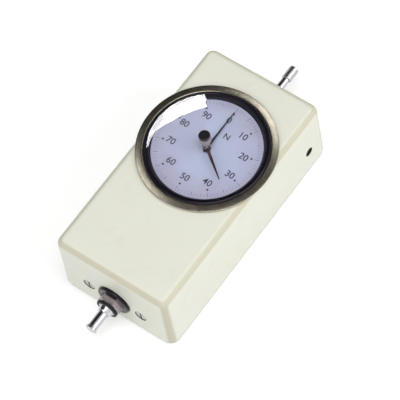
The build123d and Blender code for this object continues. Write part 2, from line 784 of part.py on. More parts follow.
rack_screw = screw_part(2 * rack_screw_radius - easy, rack_screw_radius - easy,
                        rack_screw_radius, rack_root, countersunk=True)
with BuildPart() as rack_screws:
    with Locations(*[Plane((-rack_root + running, y, axis_height), x_dir=(0, 1, 0),
                           z_dir=(-1, 0, 0)) for y in rack_screw_places]):
        add(rack_screw)
finish(rack_screws, "rack_screws")

# ---------------------------------------------------------------- gear train


def tooth_half_angle(radius, teeth, module):
    """Half the angle that one tooth fills at a radius; constant inside the base circle."""
    pitch_radius = teeth * module / 2
    base_radius = pitch_radius * cos(pressure_angle)

    def roll(at_radius):
        angle = acos(base_radius / max(at_radius, base_radius))
        return tan(angle) - angle

    at_pitch = (pi * module / 2 - tooth_thinning) / (2 * pitch_radius)
    return at_pitch + roll(pitch_radius) - roll(radius)


def gear_profile(teeth, module, addendum):
    """Gear outline about the origin with one tooth on +X; its flanks are chords of the involute."""
    pitch_radius = teeth * module / 2
    base_radius = pitch_radius * cos(pressure_angle)
    root = pitch_radius - 1.25 * module
    tip = pitch_radius + addendum * module
    flank_start = max(root, base_radius)

    def point(radius, middle, side):
        angle = middle + side * tooth_half_angle(radius, teeth, module)
        return radius * cos(angle), radius * sin(angle)

    with BuildSketch() as gear:
        with BuildLine():
            for tooth in range(teeth):
                middle = 2 * pi * tooth / teeth
                following = middle + 2 * pi / teeth
                outline = [point(radius, middle, -1) for radius in (flank_start, tip)]
                outline += [point(radius, middle, 1) for radius in (tip, flank_start)]
                if root < base_radius:
                    outline += [point(root, middle, 1), point(root, following, -1)]
                Polyline(*outline, point(flank_start, following, -1))
        make_face()
    return gear.sketch


with BuildPart() as rack_pinion:
    pinion_bottom = axis_height - pinion_face / 2
    with BuildSketch(Plane.XY.offset(pinion_bottom)):
        with Locations((arbor_x, arbor_y)):
            add(gear_profile(rack_pinion_teeth, rack_module, 1.0), rotation=180 / rack_pinion_teeth)
    extrude(amount=pinion_face)
    with BuildSketch(Plane.XY.offset(pinion_bottom + pinion_face)):
        with Locations((arbor_x, arbor_y)):
            Circle(arbor_hub_radius)
    extrude(amount=hub_height)
    with BuildSketch(Plane.XY.offset(pinion_bottom)):
        with Locations((arbor_x, arbor_y)):
            Circle(arbor_radius + fixed)
    extrude(amount=pinion_face + hub_height, mode=Mode.SUBTRACT)
finish(rack_pinion, "rack_pinion")

# The wheel's teeth are a little short, so that they clear the roots of the small hand pinion
with BuildPart() as intermediate_wheel:
    wheel_radius = wheel_teeth * wheel_module / 2
    with BuildSketch(Plane.XY.offset(wheel_height)):
        with Locations((arbor_x, arbor_y)):
            add(gear_profile(wheel_teeth, wheel_module, 0.75), rotation=train_angle)
            with PolarLocations(0.62 * wheel_radius, 5, start_angle=train_angle):
                Circle(0.19 * wheel_radius, mode=Mode.SUBTRACT)
    extrude(amount=wheel_face)
    with BuildSketch(Plane.XY.offset(wheel_height + wheel_face)):
        with Locations((arbor_x, arbor_y)):
            Circle(arbor_hub_radius)
    extrude(amount=hub_height)
    with BuildSketch(Plane.XY.offset(wheel_height)):
        with Locations((arbor_x, arbor_y)):
            Circle(arbor_radius + fixed)
    extrude(amount=wheel_face + hub_height, mode=Mode.SUBTRACT)
finish(intermediate_wheel, "intermediate_wheel")

with BuildPart() as arbor:
    with BuildSketch(Plane.XY.offset(chassis_floor_height + free)):
        with Locations((arbor_x, arbor_y)):
            Circle(arbor_radius)
    extrude(amount=upper_plate_height + plate_thickness - chassis_floor_height - 2 * free)
    chamfer(arbor.edges().filter_by(GeomType.CIRCLE), small_chamfer)
finish(arbor, "arbor")

with BuildPart() as hand_spindle:
    with BuildSketch(Plane.XY.offset(lower_plate_height + free)):
        with Locations((0, dial_y)):
            Circle(hand_spindle_radius)
    extrude(amount=hand_level + hand_hub_height - hand_hub_drop - lower_plate_height - 2 * free)
    with BuildSketch(Plane.XY.offset(hand_pinion_height)):
        with Locations((0, dial_y)):
            add(gear_profile(hand_pinion_teeth, wheel_module, 1.0),
                rotation=train_angle + 180 + 180 / hand_pinion_teeth)
    extrude(amount=hand_pinion_face)
    with BuildSketch(Plane.XY.offset(collet_bottom)):
        with Locations((0, dial_y)):
            Circle(collet_radius)
    extrude(amount=collet_height)
finish(hand_spindle, "hand_spindle")

# ---------------------------------------------------------------- movement plates and pillars
plate_length = plate_front + plate_rear
plate_middle = dial_y + (plate_rear - plate_front) / 2


def movement_plate(height):
    """Movement plate with bearings for the hand spindle and the arbor, and four pillar holes."""
    with BuildPart() as plate:
        with BuildSketch(Plane.XY.offset(height)):
            with Locations((0, plate_middle)):
                RectangleRounded(plate_width, plate_length, plate_corner_radius)
            with Locations((plate_window_x, plate_middle)):
                SlotOverall(plate_window_length, plate_window_width, rotation=90,
                            mode=Mode.SUBTRACT)
            with Locations((0, dial_y)):
                Circle(hand_spindle_radius + running, mode=Mode.SUBTRACT)
            with Locations((arbor_x, arbor_y)):
                Circle(arbor_radius + running, mode=Mode.SUBTRACT)
            with Locations(*pillar_places):
                Circle(pillar_spigot_radius + fixed, mode=Mode.SUBTRACT)
        extrude(amount=plate_thickness)
    return plate


finish(movement_plate(lower_plate_height), "lower_plate")

# The upper plate also takes the stud that holds the hairspring's outer end
with BuildPart() as upper_plate:
    add(movement_plate(upper_plate_height).part)
    with BuildSketch(Plane.XY.offset(upper_plate_height)):
        with Locations(stud_place):
            Circle(stud_radius + fixed)
    extrude(amount=plate_thickness, mode=Mode.SUBTRACT)
finish(upper_plate, "upper_plate")

with BuildPart() as lower_pillars:
    with BuildSketch(Plane.XY.offset(floor_top)):
        with Locations(*pillar_places):
            RegularPolygon(pillar_across_flats / 2, 6, major_radius=False, rotation=30)
    extrude(amount=lower_plate_height - floor_top)
    with BuildSketch(Plane.XY.offset(chassis_floor_height)):
        with Locations(*pillar_places):
            Circle(pillar_spigot_radius)
    extrude(amount=lower_plate_height + plate_thickness + pillar_spigot_reach
            - chassis_floor_height)
finish(lower_pillars, "lower_pillars")

with BuildPart() as upper_pillars:
    with BuildSketch(Plane.XY.offset(lower_plate_height + plate_thickness)):
        with Locations(*pillar_places):
            RegularPolygon(pillar_across_flats / 2, 6, major_radius=False, rotation=30)
            Circle(pillar_spigot_radius + fixed, mode=Mode.SUBTRACT)
    extrude(amount=plate_gap)
finish(upper_pillars, "upper_pillars")

plate_screw = screw_part(plate_screw_head_radius, plate_screw_head_height, pillar_spigot_radius,
                         plate_screw_head_height + plate_thickness + plate_screw_reach)
with BuildPart() as plate_screws:
    with Locations(*[(x, y, upper_plate_height + plate_thickness + plate_screw_head_height)
                     for x, y in pillar_places]):
        add(plate_screw)
finish(plate_screws, "plate_screws")

# The hairspring is a spiral of half circles, each half a pitch larger than the last
with BuildPart() as hairspring:
    with BuildLine(Plane.XY.offset(hairspring_height)) as spiral:
        for half_turn in range(2 * hairspring_coils):
            second_half = half_turn % 2
            CenterArc((second_half * hairspring_pitch / 2, dial_y),
                      hairspring_start + half_turn * hairspring_pitch / 2,
                      180 * second_half, 180)
    with BuildSketch(Plane(spiral.line @ 0, x_dir=(1, 0, 0), z_dir=(0, 1, 0))):
        Rectangle(hairspring_strip, hairspring_width)
    sweep(path=spiral.line)
finish(hairspring, "hairspring")

with BuildPart() as hairspring_stud:
    with BuildSketch(Plane.XY.offset(hairspring_height - hairspring_width / 2 - free)):
        with Locations(stud_place):
            Circle(stud_radius)
    extrude(amount=upper_plate_height + plate_thickness / 2 - hairspring_height
            + hairspring_width / 2 + free)
finish(hairspring_stud, "hairspring_stud")

# ---------------------------------------------------------------- dial case, fixed to the roof
with BuildPart() as dial_case:
    with BuildSketch(dial_section):
        Polygon((case_shelf_radius, case_bottom), (case_outer, case_bottom),
                (case_outer, body_height), (case_inner, body_height),
                (case_inner, washer_bottom), (case_shelf_radius, washer_bottom), align=None)
    revolve(axis=dial_axis)
    with BuildSketch(Plane.XY.offset(case_bottom)):
        with Locations((0, dial_y)):
            with PolarLocations((case_inner + case_ear_reach) / 2, 4, start_angle=45):
                Rectangle(case_ear_reach - case_inner, 2 * case_ear_radius)
            with PolarLocations(case_ear_reach, 4, start_angle=45):
                Circle(case_ear_radius)
                Circle(case_screw_radius + easy, mode=Mode.SUBTRACT)
            Circle(case_inner, mode=Mode.SUBTRACT)
    extrude(amount=case_ear_thickness)
finish(dial_case, "dial_case")

case_screw = screw_part(case_screw_head_radius, case_screw_head_height, case_screw_radius,
                        case_screw_head_height + case_ear_thickness + case_hole_depth - easy)
with BuildPart() as case_screws:
    with Locations(*[Plane((x, y, case_bottom - case_screw_head_height), z_dir=(0, 0, -1))
                     for x, y in case_ear_places]):
        add(case_screw)
finish(case_screws, "case_screws")

with BuildPart() as friction_washer:
    with BuildSketch(Plane.XY.offset(washer_bottom)):
        with Locations((0, dial_y)):
            Circle(case_inner - easy)
            Circle(case_shelf_radius + free, mode=Mode.SUBTRACT)
    extrude(amount=washer_thickness)
finish(friction_washer, "friction_washer")

# ---------------------------------------------------------------- dial, crystal and bezel
dial_seat_radius = dial_radius + easy
crystal_seat_radius = crystal_radius + easy
ring_ledge = inner_ring_top - inner_ring_lip

with BuildPart() as crystal_ring:
    with BuildSketch(dial_section):
        Polygon((ring_skirt_radius - ring_skirt_thickness, ring_bottom),
                (ring_skirt_radius, ring_bottom), (ring_skirt_radius, ring_base),
                (crystal_ring_radius, ring_base), (crystal_ring_radius, ring_top - 0.4),
                (crystal_ring_radius - 0.4, ring_top), (crystal_seat_radius + 0.45, ring_top),
                (crystal_seat_radius, ring_top - 0.3), (crystal_seat_radius, ring_ledge - fixed),
                (dial_seat_radius, ring_ledge - fixed), (dial_seat_radius, dial_bottom),
                (ring_skirt_radius - ring_skirt_thickness, dial_bottom), align=None)
    revolve(axis=dial_axis)
finish(crystal_ring, "crystal_ring")

with BuildPart() as inner_ring:
    with BuildSketch(dial_section):
        Polygon((inner_ring_foot_radius, dial_top), (dial_radius, dial_top),
                (dial_radius, ring_ledge), (crystal_radius, ring_ledge),
                (crystal_radius, inner_ring_top), (crystal_radius - 0.5, inner_ring_top),
                align=None)
    revolve(axis=dial_axis)
finish(inner_ring, "inner_ring")

with BuildPart() as dial_plate:
    with BuildSketch(Plane.XY.offset(dial_bottom)):
        with Locations((0, dial_y)):
            Circle(dial_radius)
            Circle(dial_hole_radius, mode=Mode.SUBTRACT)
    extrude(amount=dial_thickness)
finish(dial_plate, "dial_plate")

with BuildPart() as crystal:
    edge_top = inner_ring_top + crystal_edge
    with BuildSketch(dial_section):
        with BuildLine():
            Line((0, crystal_under), (0, crystal_crown))
            TangentArc((0, crystal_crown), (crystal_radius, edge_top), tangent=(1, 0))
            Polyline((crystal_radius, edge_top), (crystal_radius, inner_ring_top),
                     (crystal_radius - 1, inner_ring_top))
            TangentArc((0, crystal_under), (crystal_radius - 1, inner_ring_top), tangent=(1, 0))
        make_face()
    revolve(axis=dial_axis)
    with BuildSketch(Plane.XY.offset(crystal_under - 1)):
        with Locations((0, dial_y)):
            Circle(knob_spindle_radius + running)
    extrude(amount=crystal_centre + 2, mode=Mode.SUBTRACT)
finish(crystal, "crystal")

with BuildPart() as bezel:
    bezel_bore = crystal_ring_radius + easy
    bezel_top = ring_base + bezel_height
    rim_top = ring_base + bezel_rim_height
    with BuildSketch(dial_section):
        Polygon((bezel_bore, ring_base), (bezel_radius - small_chamfer, ring_base),
                (bezel_radius, ring_base + small_chamfer), (bezel_radius, rim_top - small_chamfer),
                (bezel_radius - small_chamfer, rim_top), (bezel_bore + 2 * small_chamfer, bezel_top),
                (bezel_bore, bezel_top - small_chamfer), align=None)
    revolve(axis=dial_axis)
finish(bezel, "bezel")

# ---------------------------------------------------------------- hands


def hand_outline(length, tail, width, tip):
    """Corners of a tapered hand that points along +Y, with its pivot at the origin."""
    return [(-tip / 2, length), (tip / 2, length), (width / 2, 0), (width / 3, -tail),
            (-width / 3, -tail), (-width / 2, 0)]


hub_boss_radius = hand_hub_radius - 0.4

with BuildPart() as main_hand:
    with BuildSketch(Plane.XY.offset(hand_level)):
        with Locations((0, dial_y)):
            Polygon(*hand_outline(main_hand_length, main_hand_tail, main_hand_width,
                                  main_hand_tip), align=None)
            Circle(hand_hub_radius)
            Circle(hub_boss_radius + fixed, mode=Mode.SUBTRACT)
    extrude(amount=hand_thickness)
finish(main_hand, "main_hand")

with BuildPart() as hand_hub:
    hub_bottom = hand_level - hand_hub_drop
    hub_top = hub_bottom + hand_hub_height
    hub_bore = hand_spindle_radius + fixed
    with BuildSketch(dial_section):
        Polygon((hub_bore, hub_bottom), (hand_hub_radius, hub_bottom),
                (hand_hub_radius, hand_level), (hub_boss_radius, hand_level),
                (hub_boss_radius, hub_top), (0, hub_top), (0, hub_top - free + running),
                (hub_bore, hub_top - free + running), align=None)
    revolve(axis=dial_axis)
finish(hand_hub, "hand_hub")

# The pin under the set hand is what the main hand drags; it stops just above the main hand
with BuildPart() as set_hand:
    with BuildSketch(Plane.XY.offset(set_hand_level)):
        with Locations((0, dial_y)):
            Polygon(*hand_outline(set_hand_length, set_hand_tail, set_hand_width, set_hand_tip),
                    rotation=set_hand_angle, align=None)
    extrude(amount=hand_thickness)
    with BuildSketch(Plane.XY.offset(set_hand_level)):
        with Locations((0, dial_y)):
            Circle(set_hand_hub_radius)
    extrude(amount=set_hand_hub_height)
    with BuildSketch(Plane.XY.offset(set_hand_level)):
        with Locations((0, dial_y)):
            Circle(knob_spindle_radius + fixed)
    extrude(amount=set_hand_hub_height, mode=Mode.SUBTRACT)
    pin_bottom = hand_level + hand_thickness + free
    with BuildSketch(Plane.XY.offset(pin_bottom)):
        with Locations((-drag_pin_reach * sin(radians(set_hand_angle)),
                        dial_y + drag_pin_reach * cos(radians(set_hand_angle)))):
            Circle(drag_pin_radius)
    extrude(amount=set_hand_level - pin_bottom)
finish(set_hand, "set_hand")

# ---------------------------------------------------------------- reset knob
knob_spindle_top = knob_bottom + knob_spindle_depth

with BuildPart() as knob_spindle:
    with BuildSketch(Plane.XY.offset(set_hand_level - free)):
        with Locations((0, dial_y)):
            Circle(knob_spindle_radius)
    extrude(amount=knob_spindle_top - set_hand_level + free)
finish(knob_spindle, "knob_spindle")

with BuildPart() as knob_clip:
    with BuildSketch(Plane.XY.offset(crystal_under - clip_thickness - easy)):
        with Locations((0, dial_y)):
            Circle(clip_radius)
            Circle(knob_spindle_radius + fixed, mode=Mode.SUBTRACT)
            with Locations((clip_radius, 0)):
                Rectangle(2 * clip_radius, 1.2, mode=Mode.SUBTRACT)
    extrude(amount=clip_thickness)
finish(knob_clip, "knob_clip")

with BuildPart() as reset_knob:
    knob_top = knob_bottom + knob_height
    with BuildSketch(dial_section):
        Polygon((0, knob_bottom), (knob_foot_radius, knob_bottom),
                (knob_radius, knob_bottom + knob_foot_height), (knob_radius, knob_top),
                (0, knob_top), align=None)
    revolve(axis=dial_axis)
    fillet(reset_knob.faces().sort_by(Axis.Z)[-1].edges(), knob_edge)
    with BuildSketch(Plane.XY.offset(knob_bottom)):
        with Locations((0, dial_y)):
            Circle(knob_spindle_radius + fixed)
    extrude(amount=knob_spindle_depth + easy, mode=Mode.SUBTRACT)
finish(reset_knob, "reset_knob")
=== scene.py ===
# %% [markdown]
# A mechanical push-pull force gauge. A chromed shaft runs through a cream painted box. Pushing or
# pulling it works against two springs, and a rack and a small gear train turn a hand over a dial
# that sits under a domed crystal. Every solid piece comes ready made and posed from the packed
# model, in metres. This file gives each piece its finish, adds what is too fine for the solids
# (printed figures, round spring wire, thread, knurl), and sets up light and camera.

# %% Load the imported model
from math import cos, pi, radians, sin, sqrt, tau

import bmesh
import bpy
from mathutils import Matrix, Vector


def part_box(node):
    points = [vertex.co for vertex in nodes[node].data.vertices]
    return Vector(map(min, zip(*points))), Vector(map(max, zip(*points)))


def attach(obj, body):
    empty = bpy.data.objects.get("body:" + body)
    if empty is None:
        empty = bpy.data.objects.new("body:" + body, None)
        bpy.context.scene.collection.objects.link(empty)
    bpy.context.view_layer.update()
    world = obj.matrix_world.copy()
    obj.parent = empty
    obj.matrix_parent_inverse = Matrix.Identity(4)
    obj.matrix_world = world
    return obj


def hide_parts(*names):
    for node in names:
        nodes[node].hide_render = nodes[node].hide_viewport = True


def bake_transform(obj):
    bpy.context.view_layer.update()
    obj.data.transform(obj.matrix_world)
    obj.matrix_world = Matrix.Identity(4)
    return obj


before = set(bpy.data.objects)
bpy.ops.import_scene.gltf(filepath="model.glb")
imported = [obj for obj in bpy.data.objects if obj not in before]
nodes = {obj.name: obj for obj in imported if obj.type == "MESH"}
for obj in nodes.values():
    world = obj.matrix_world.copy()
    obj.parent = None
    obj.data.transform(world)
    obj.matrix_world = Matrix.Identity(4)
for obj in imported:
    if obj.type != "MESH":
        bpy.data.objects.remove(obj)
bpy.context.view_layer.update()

mm = 0.001
micron = 0.000001

# %% [markdown]
# Everything round on the dial turns about one upright axis, and the shaft has its own axis along
# Y. Both are read from the boxes of the pieces themselves, so nothing is typed in twice.

# %% Middle of a piece


def middle_of(node):
    """Centre of a node's box."""
    low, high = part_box(node)
    return (low + high) / 2


print("housing middle, mm:", [round(side / mm, 1) for side in middle_of("housing")])

# %% Axes and levels
dial_low, dial_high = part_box("dial_plate")
dial_centre = middle_of("dial_plate")
dial_top, dial_bottom = dial_high.z, dial_low.z
dial_radius = (dial_high.x - dial_low.x) / 2
shaft_centre = middle_of("push_tip")
print("dial radius, mm:", round(dial_radius / mm, 2), "top at", round(dial_top / mm, 2))

# %% [markdown]
# Shader sums are easier to read as sums than as boxes and wires. A Signal wraps one socket, and
# the usual operators on it add Math nodes. A Finish holds one material: its `node` method adds
# any other node, taking first the settings and then what goes into the sockets.

# %% A socket that can be added and multiplied


class Signal:
    """One output socket of a node tree; arithmetic on it adds Math nodes."""

    def __init__(self, nodes_of, socket):
        self.nodes_of = nodes_of
        self.socket = socket

    def math(self, operation, first, second=0.0):
        return self.nodes_of.node("Math", {"operation": operation}, {0: first, 1: second})

    def __add__(self, other):
        return self.math("ADD", self, other)

    def __radd__(self, other):
        return self.math("ADD", other, self)

    def __sub__(self, other):
        return self.math("SUBTRACT", self, other)

    def __rsub__(self, other):
        return self.math("SUBTRACT", other, self)

    def __mul__(self, other):
        return self.math("MULTIPLY", self, other)

    def __rmul__(self, other):
        return self.math("MULTIPLY", other, self)

    def __pow__(self, other):
        return self.math("POWER", self, other)

    def __abs__(self):
        return self.math("ABSOLUTE", self)

    def max(self, other):
        return self.math("MAXIMUM", self, other)

    def root(self):
        return self.math("SQRT", self)

    def rise(self, low, high):
        """0 below low, 1 above high, and a smooth slope between them."""
        return self.nodes_of.node(
            "MapRange", {"interpolation_type": "SMOOTHSTEP"},
            {"Value": self, "From Min": low, "From Max": high})


print("signals add, subtract, multiply and take powers")

# %% Nodes of one tree


class Nodes:
    """The node tree of a finish or of the world."""

    def __init__(self, tree):
        self.tree = tree

    def node(self, kind, settings=None, values=None, output=0):
        """Adds a node of a kind, with its settings first and then its socket values or links."""
        made = self.tree.nodes.new("ShaderNode" + kind)
        for setting, value in (settings or {}).items():
            setattr(made, setting, value)
        for socket, value in (values or {}).items():
            self.put(value, made.inputs[socket])
        return Signal(self, made.outputs[output])

    def put(self, value, socket):
        """Links a signal to a socket, or sets a plain value on it."""
        if isinstance(value, Signal):
            self.tree.links.new(value.socket, socket)
        elif socket.type == "RGBA":
            socket.default_value = (*value, 1)
        else:
            socket.default_value = value

    def parts_of(self, vector):
        """The three numbers of a vector signal."""
        split = self.tree.nodes.new("ShaderNodeSeparateXYZ")
        self.put(vector, split.inputs[0])
        return [Signal(self, socket) for socket in split.outputs]

    def rays(self, *kinds):
        """1 for rays of any of these kinds, such as Camera or Shadow, and 0 for all others."""
        first, *others = [self.node("LightPath", output=f"Is {kind} Ray") for kind in kinds]
        for other in others:
            first = first.max(other)
        return first


print("node trees ready")

# %% A finish


class Finish(Nodes):
    """A material with one Principled shader; plain values go straight onto its sockets."""

    def __init__(self, name, colour, **sockets):
        self.material = bpy.data.materials.new(name)
        self.material.use_nodes = True
        super().__init__(self.material.node_tree)
        self.shader = self.tree.nodes["Principled BSDF"]
        self.shader.inputs["Base Color"].default_value = (*colour, 1)
        for socket, value in sockets.items():
            self.shader.inputs[socket.replace("_", " ")].default_value = value
        self.material.diffuse_color = (*colour, 1)

    def drive(self, socket, value):
        """Feeds one socket of the Principled shader."""
        self.put(value, self.shader.inputs[socket])

    def place(self):
        """Position on the object, in metres."""
        return self.node("TexCoord", output="Object")

    def off_axis(self, centre):
        """Distance from the upright line through a point, in metres."""
        x, y, _ = self.parts_of(self.place())
        return ((x - centre.x) ** 2 + (y - centre.y) ** 2).root()

    def noise(self, scale, detail=3.0, roughness=0.5, stretch=(1, 1, 1)):
        """Cloudy noise from 0 to 1; scale is in cells per metre."""
        moved = self.node("Mapping", {"vector_type": "POINT"},
                          {"Vector": self.place(), "Scale": stretch})
        return self.node("TexNoise", {"noise_dimensions": "3D"},
                         {"Vector": moved, "Scale": scale, "Detail": detail,
                          "Roughness": roughness})

    def blend(self, share, first, second):
        """Colour between two colours."""
        return self.node("Mix", {"data_type": "RGBA", "blend_type": "MIX"},
                         {0: share, 6: first, 7: second}, output=2)

    def relief(self, height, depth, strength=1.0):
        """Feeds Normal with a bump; depth is the height in metres of a full step."""
        self.drive("Normal", self.node("Bump", None, {
            "Height": height, "Distance": depth, "Strength": strength}))

    def surface(self, shader):
        """Shows another shader in place of the Principled one."""
        self.put(shader, self.tree.nodes["Material Output"].inputs["Surface"])


print("finishes ready")

# %% Dressing the ready made pieces


def dress(finish, *names):
    """Gives a finish to CAD nodes."""
    for name in names:
        mesh = nodes[name].data
        mesh.materials.clear()
        mesh.materials.append(finish.material)


print("pieces to dress:", len(nodes))

# %% [markdown]
# The housing is a die cast box with a cream stoving enamel. Sprayed enamel isn't quite flat: it
# has a fine orange peel, and a box that is handled has duller, slightly soiled patches. The
# rounded edges are painted a darker, warmer tone, which is painted shade. They are found from the
# surface normal: on a flat wall one of its three parts is 1, on a rounding none is. The bore of the
# access hole in the side is painted near black, as painted shade, and a dark ring is painted round
# each end screw as its painted shadow.

# %% Colours and places on the painted box
enamel_colour = (0.745, 0.755, 0.655)
# The edge colour is painted shade on the rounded edges, and also the base of the soiled tone.
enamel_edge_shade_and_soil_colour = (0.51, 0.48, 0.345)
# Near black painted shade for the bore of the side hole.
bore_shade_colour = (0.045, 0.045, 0.040)
bore_radius = 2.95 * mm
bore_rim = 1.03
bore_wall = 20 * mm
bore_centre = Vector((0, middle_of("adjusting_nut").y, shaft_centre.z))
# Dark tone for the painted shadow round the end screws.
recess_shadow_colour = (0.10, 0.10, 0.085)
screw_low, screw_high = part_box("front_screws")
screw_radius = (screw_high.z - screw_low.z) / 2
screw_offset = screw_high.x - screw_radius
screw_level = (screw_high.z + screw_low.z) / 2
recess_shade = (0.35 * mm, 0.75 * mm)
print("screw recesses at, mm:", round(screw_offset / mm, 2), round(screw_level / mm, 2))

# %% Cream enamel


def enamel(name, colour, edge_shade_and_soil_colour, roughness):
    """Sprayed enamel: orange peel, handling, painted shade on edges, in the bore and round screws.
    """
    paint = Finish(name, colour, Roughness=roughness, Coat_Weight=0.15, Coat_Roughness=0.25)
    facing = [abs(part) for part in paint.parts_of(paint.node("NewGeometry", output="Normal"))]
    rounding = 1 - facing[0].max(facing[1]).max(facing[2]).rise(0.86, 0.995)
    clouds = paint.noise(28, detail=4, roughness=0.55)
    soil = paint.noise(75, detail=6, roughness=0.65).rise(0.52, 0.75)
    # Painted shade: the rounded edges are darkened toward the edge colour.
    tone = paint.blend(rounding * 0.75, colour, edge_shade_and_soil_colour)
    worn = [part * 0.93 for part in edge_shade_and_soil_colour]
    tone = paint.blend(soil * 0.10 + clouds.rise(0.35, 0.75) * 0.06, tone, worn)
    sideways, along, upwards = paint.parts_of(paint.place())
    # Painted shade: the bore of the side hole is painted near black.
    off_bore = ((along - bore_centre.y) ** 2 + (upwards - bore_centre.z) ** 2).root()
    right_wall = sideways.rise(bore_wall, bore_wall + 1 * mm)
    in_bore = (1 - off_bore.rise(bore_radius, bore_radius * bore_rim)) * right_wall
    tone = paint.blend(in_bore, tone, bore_shade_colour)
    # Painted shadow: a dark ring round the head of each end screw.
    off_screw = ((abs(sideways) - screw_offset) ** 2 + (upwards - screw_level) ** 2).root()
    in_recess = 1 - off_screw.rise(*[screw_radius + shade for shade in recess_shade])
    paint.drive("Base Color", paint.blend(in_recess, tone, recess_shadow_colour))
    paint.drive("Roughness", roughness + clouds * 0.08 + soil * 0.06 + rounding * 0.15)
    peel = paint.noise(1400, detail=2, roughness=0.4) + paint.noise(420, detail=1) * 0.8
    paint.relief(peel, 12 * micron, strength=0.35)
    return paint


dress(enamel("cream_enamel", enamel_colour, enamel_edge_shade_and_soil_colour, 0.36), "housing")
dress(enamel("cover_enamel", (0.60, 0.61, 0.54), (0.52, 0.51, 0.43), 0.45), "back_cover")
print("enamel on housing and back cover")

# %% [markdown]
# Metal looks like metal through the marks that its tool left. Turned pieces have fine rings
# round their axis, ground rods have marks along or round them, rolled sheet has a grain one
# way. One function covers all of these: noise squeezed hard across the marks and stretched
# along them, used for a slight change of roughness and a very shallow relief.

# %% Metals


def metal(name, colour, roughness, grain=(1, 1, 1), depth=2 * micron, tarnish=0.06):
    """Bare or plated metal; grain stretches its marks, small numbers run along them."""
    made = Finish(name, colour, Metallic=1.0, Roughness=roughness)
    marks = made.noise(2600, detail=3, roughness=0.6, stretch=grain)
    film = made.noise(90, detail=4, roughness=0.6).rise(0.35, 0.8)
    dark = [part * 0.72 for part in colour]
    made.drive("Base Color", made.blend(film * tarnish * 4 + marks * 0.08, colour, dark))
    made.drive("Roughness", roughness * 0.8 + marks * roughness * 0.4 + film * tarnish)
    made.relief(marks, depth, strength=0.4)
    return made


shaft_chrome = metal("shaft_chrome", (0.50, 0.50, 0.54), 0.10,
                     grain=(1, 0.04, 1), depth=1 * micron, tarnish=0.02)
bush_nickel = metal("bush_nickel", (0.58, 0.57, 0.61), 0.18, grain=(1, 12, 1), tarnish=0.03)
nut_steel = metal("nut_steel", (0.50, 0.44, 0.48), 0.22,
                  grain=(1, 0.2, 1), depth=4 * micron, tarnish=0.08)
screw_nickel = metal("screw_nickel", (0.42, 0.42, 0.38), 0.34, depth=5 * micron, tarnish=0.12)
plated_sheet = metal("plated_sheet", (0.60, 0.60, 0.57), 0.38,
                     grain=(1, 0.05, 1), depth=5 * micron, tarnish=0.10)
ground_steel = metal("ground_steel", (0.62, 0.62, 0.62), 0.22, grain=(1, 1, 8), tarnish=0.04)
spring_steel = metal("spring_steel", (0.26, 0.25, 0.24), 0.32, depth=3 * micron, tarnish=0.12)
machined_brass = metal("machined_brass", (0.72, 0.53, 0.24), 0.27,
                       grain=(1, 1, 8), depth=4 * micron, tarnish=0.10)
turned_aluminium = metal("turned_aluminium", (0.58, 0.58, 0.58), 0.33,
                         grain=(1, 1, 10), depth=4 * micron)
print("metals:", len(bpy.data.materials))

# %% Which pieces are which metal
dress(shaft_chrome, "measuring_shaft", "push_tip")
dress(bush_nickel, "front_bush", "rear_bush")
dress(nut_steel, "front_nut", "rear_nut")
dress(screw_nickel, "cover_screws", "case_screws", "plate_screws", "rack_screws", "lock_screw",
      "collar_pins")
dress(plated_sheet, "chassis")
dress(ground_steel, "guide_rod", "arbor", "hand_spindle", "knob_spindle", "knob_clip")
dress(spring_steel, "hairspring")
dress(machined_brass, "front_collar", "rear_collar", "adjusting_nut", "rack", "rack_pinion",
      "intermediate_wheel", "lower_plate", "upper_plate", "lower_pillars", "upper_pillars",
      "hairspring_stud", "hand_hub")
dress(turned_aluminium, "dial_case")
print("brass pieces:", machined_brass.material.users)

# %% [markdown]
# The end screws sit in the painted walls with their slots facing out. What lies below the face of
# the head is painted darker, as painted shade in the slot and round the head. Both pairs stand
# equally far from the middle.

# %% End screws
end_screw_tone = (0.50, 0.50, 0.44)
# Dark tone for the painted shade below the face of the head.
slot_shade_tone = (0.05, 0.05, 0.04)
unshaded_to, shaded_from = 0.10 * mm, 0.40 * mm
end_screw = metal("end_screw_nickel", end_screw_tone, 0.30, depth=5 * micron, tarnish=0.12)
head_face = abs(screw_low.y)
to_end = abs(end_screw.parts_of(end_screw.place())[1])
# Painted shade: deeper than the face of the head, in the slot and round it, is darker.
slot_shade = 1 - to_end.rise(head_face - shaded_from, head_face - unshaded_to)
end_screw.drive("Base Color", end_screw.blend(slot_shade, end_screw_tone, slot_shade_tone))
dress(end_screw, "front_screws", "rear_screws")

# %% [markdown]
# The moulded pieces are plain coloured plastic or rubber. What tells them apart is gloss and
# how even it is: the ring round the crystal is polished, the knob is satin, the wiper is dull.
# The knob is black; its foot is painted paler and brownish, a painted reflection of the dial.

# %% Plastic and rubber


def moulded(name, colour, roughness, unevenness, skin_scale=900, depth=4 * micron, gloss=0.5):
    """Plastic or rubber with slightly uneven gloss and a fine moulded skin."""
    made = Finish(name, colour, Roughness=roughness, Specular_IOR_Level=gloss)
    patches = made.noise(120, detail=4, roughness=0.6)
    pale = [part * 1.25 + 0.006 for part in colour]
    made.drive("Base Color", made.blend(patches.rise(0.4, 0.8) * 0.5, colour, pale))
    made.drive("Roughness", roughness + (patches - 0.5) * unevenness)
    made.relief(made.noise(skin_scale, detail=2), depth, strength=0.3)
    return made


black_gloss = moulded("black_gloss", (0.009, 0.006, 0.012), 0.10, 0.05,
                      skin_scale=500, depth=2 * micron, gloss=0.22)
wiper_rubber = moulded("wiper_rubber", (0.010, 0.009, 0.012), 0.55, 0.15,
                       skin_scale=1500, depth=10 * micron, gloss=0.25)
ring_grey = moulded("ring_grey", (0.012, 0.010, 0.018), 0.42, 0.10, gloss=0.3)
washer_nylon = moulded("washer_nylon", (0.70, 0.69, 0.64), 0.50, 0.08)
dress(black_gloss, "front_flange", "crystal_ring")
dress(wiper_rubber, "front_seal")
dress(ring_grey, "inner_ring")
dress(washer_nylon, "friction_washer")
print("plastics dressed")

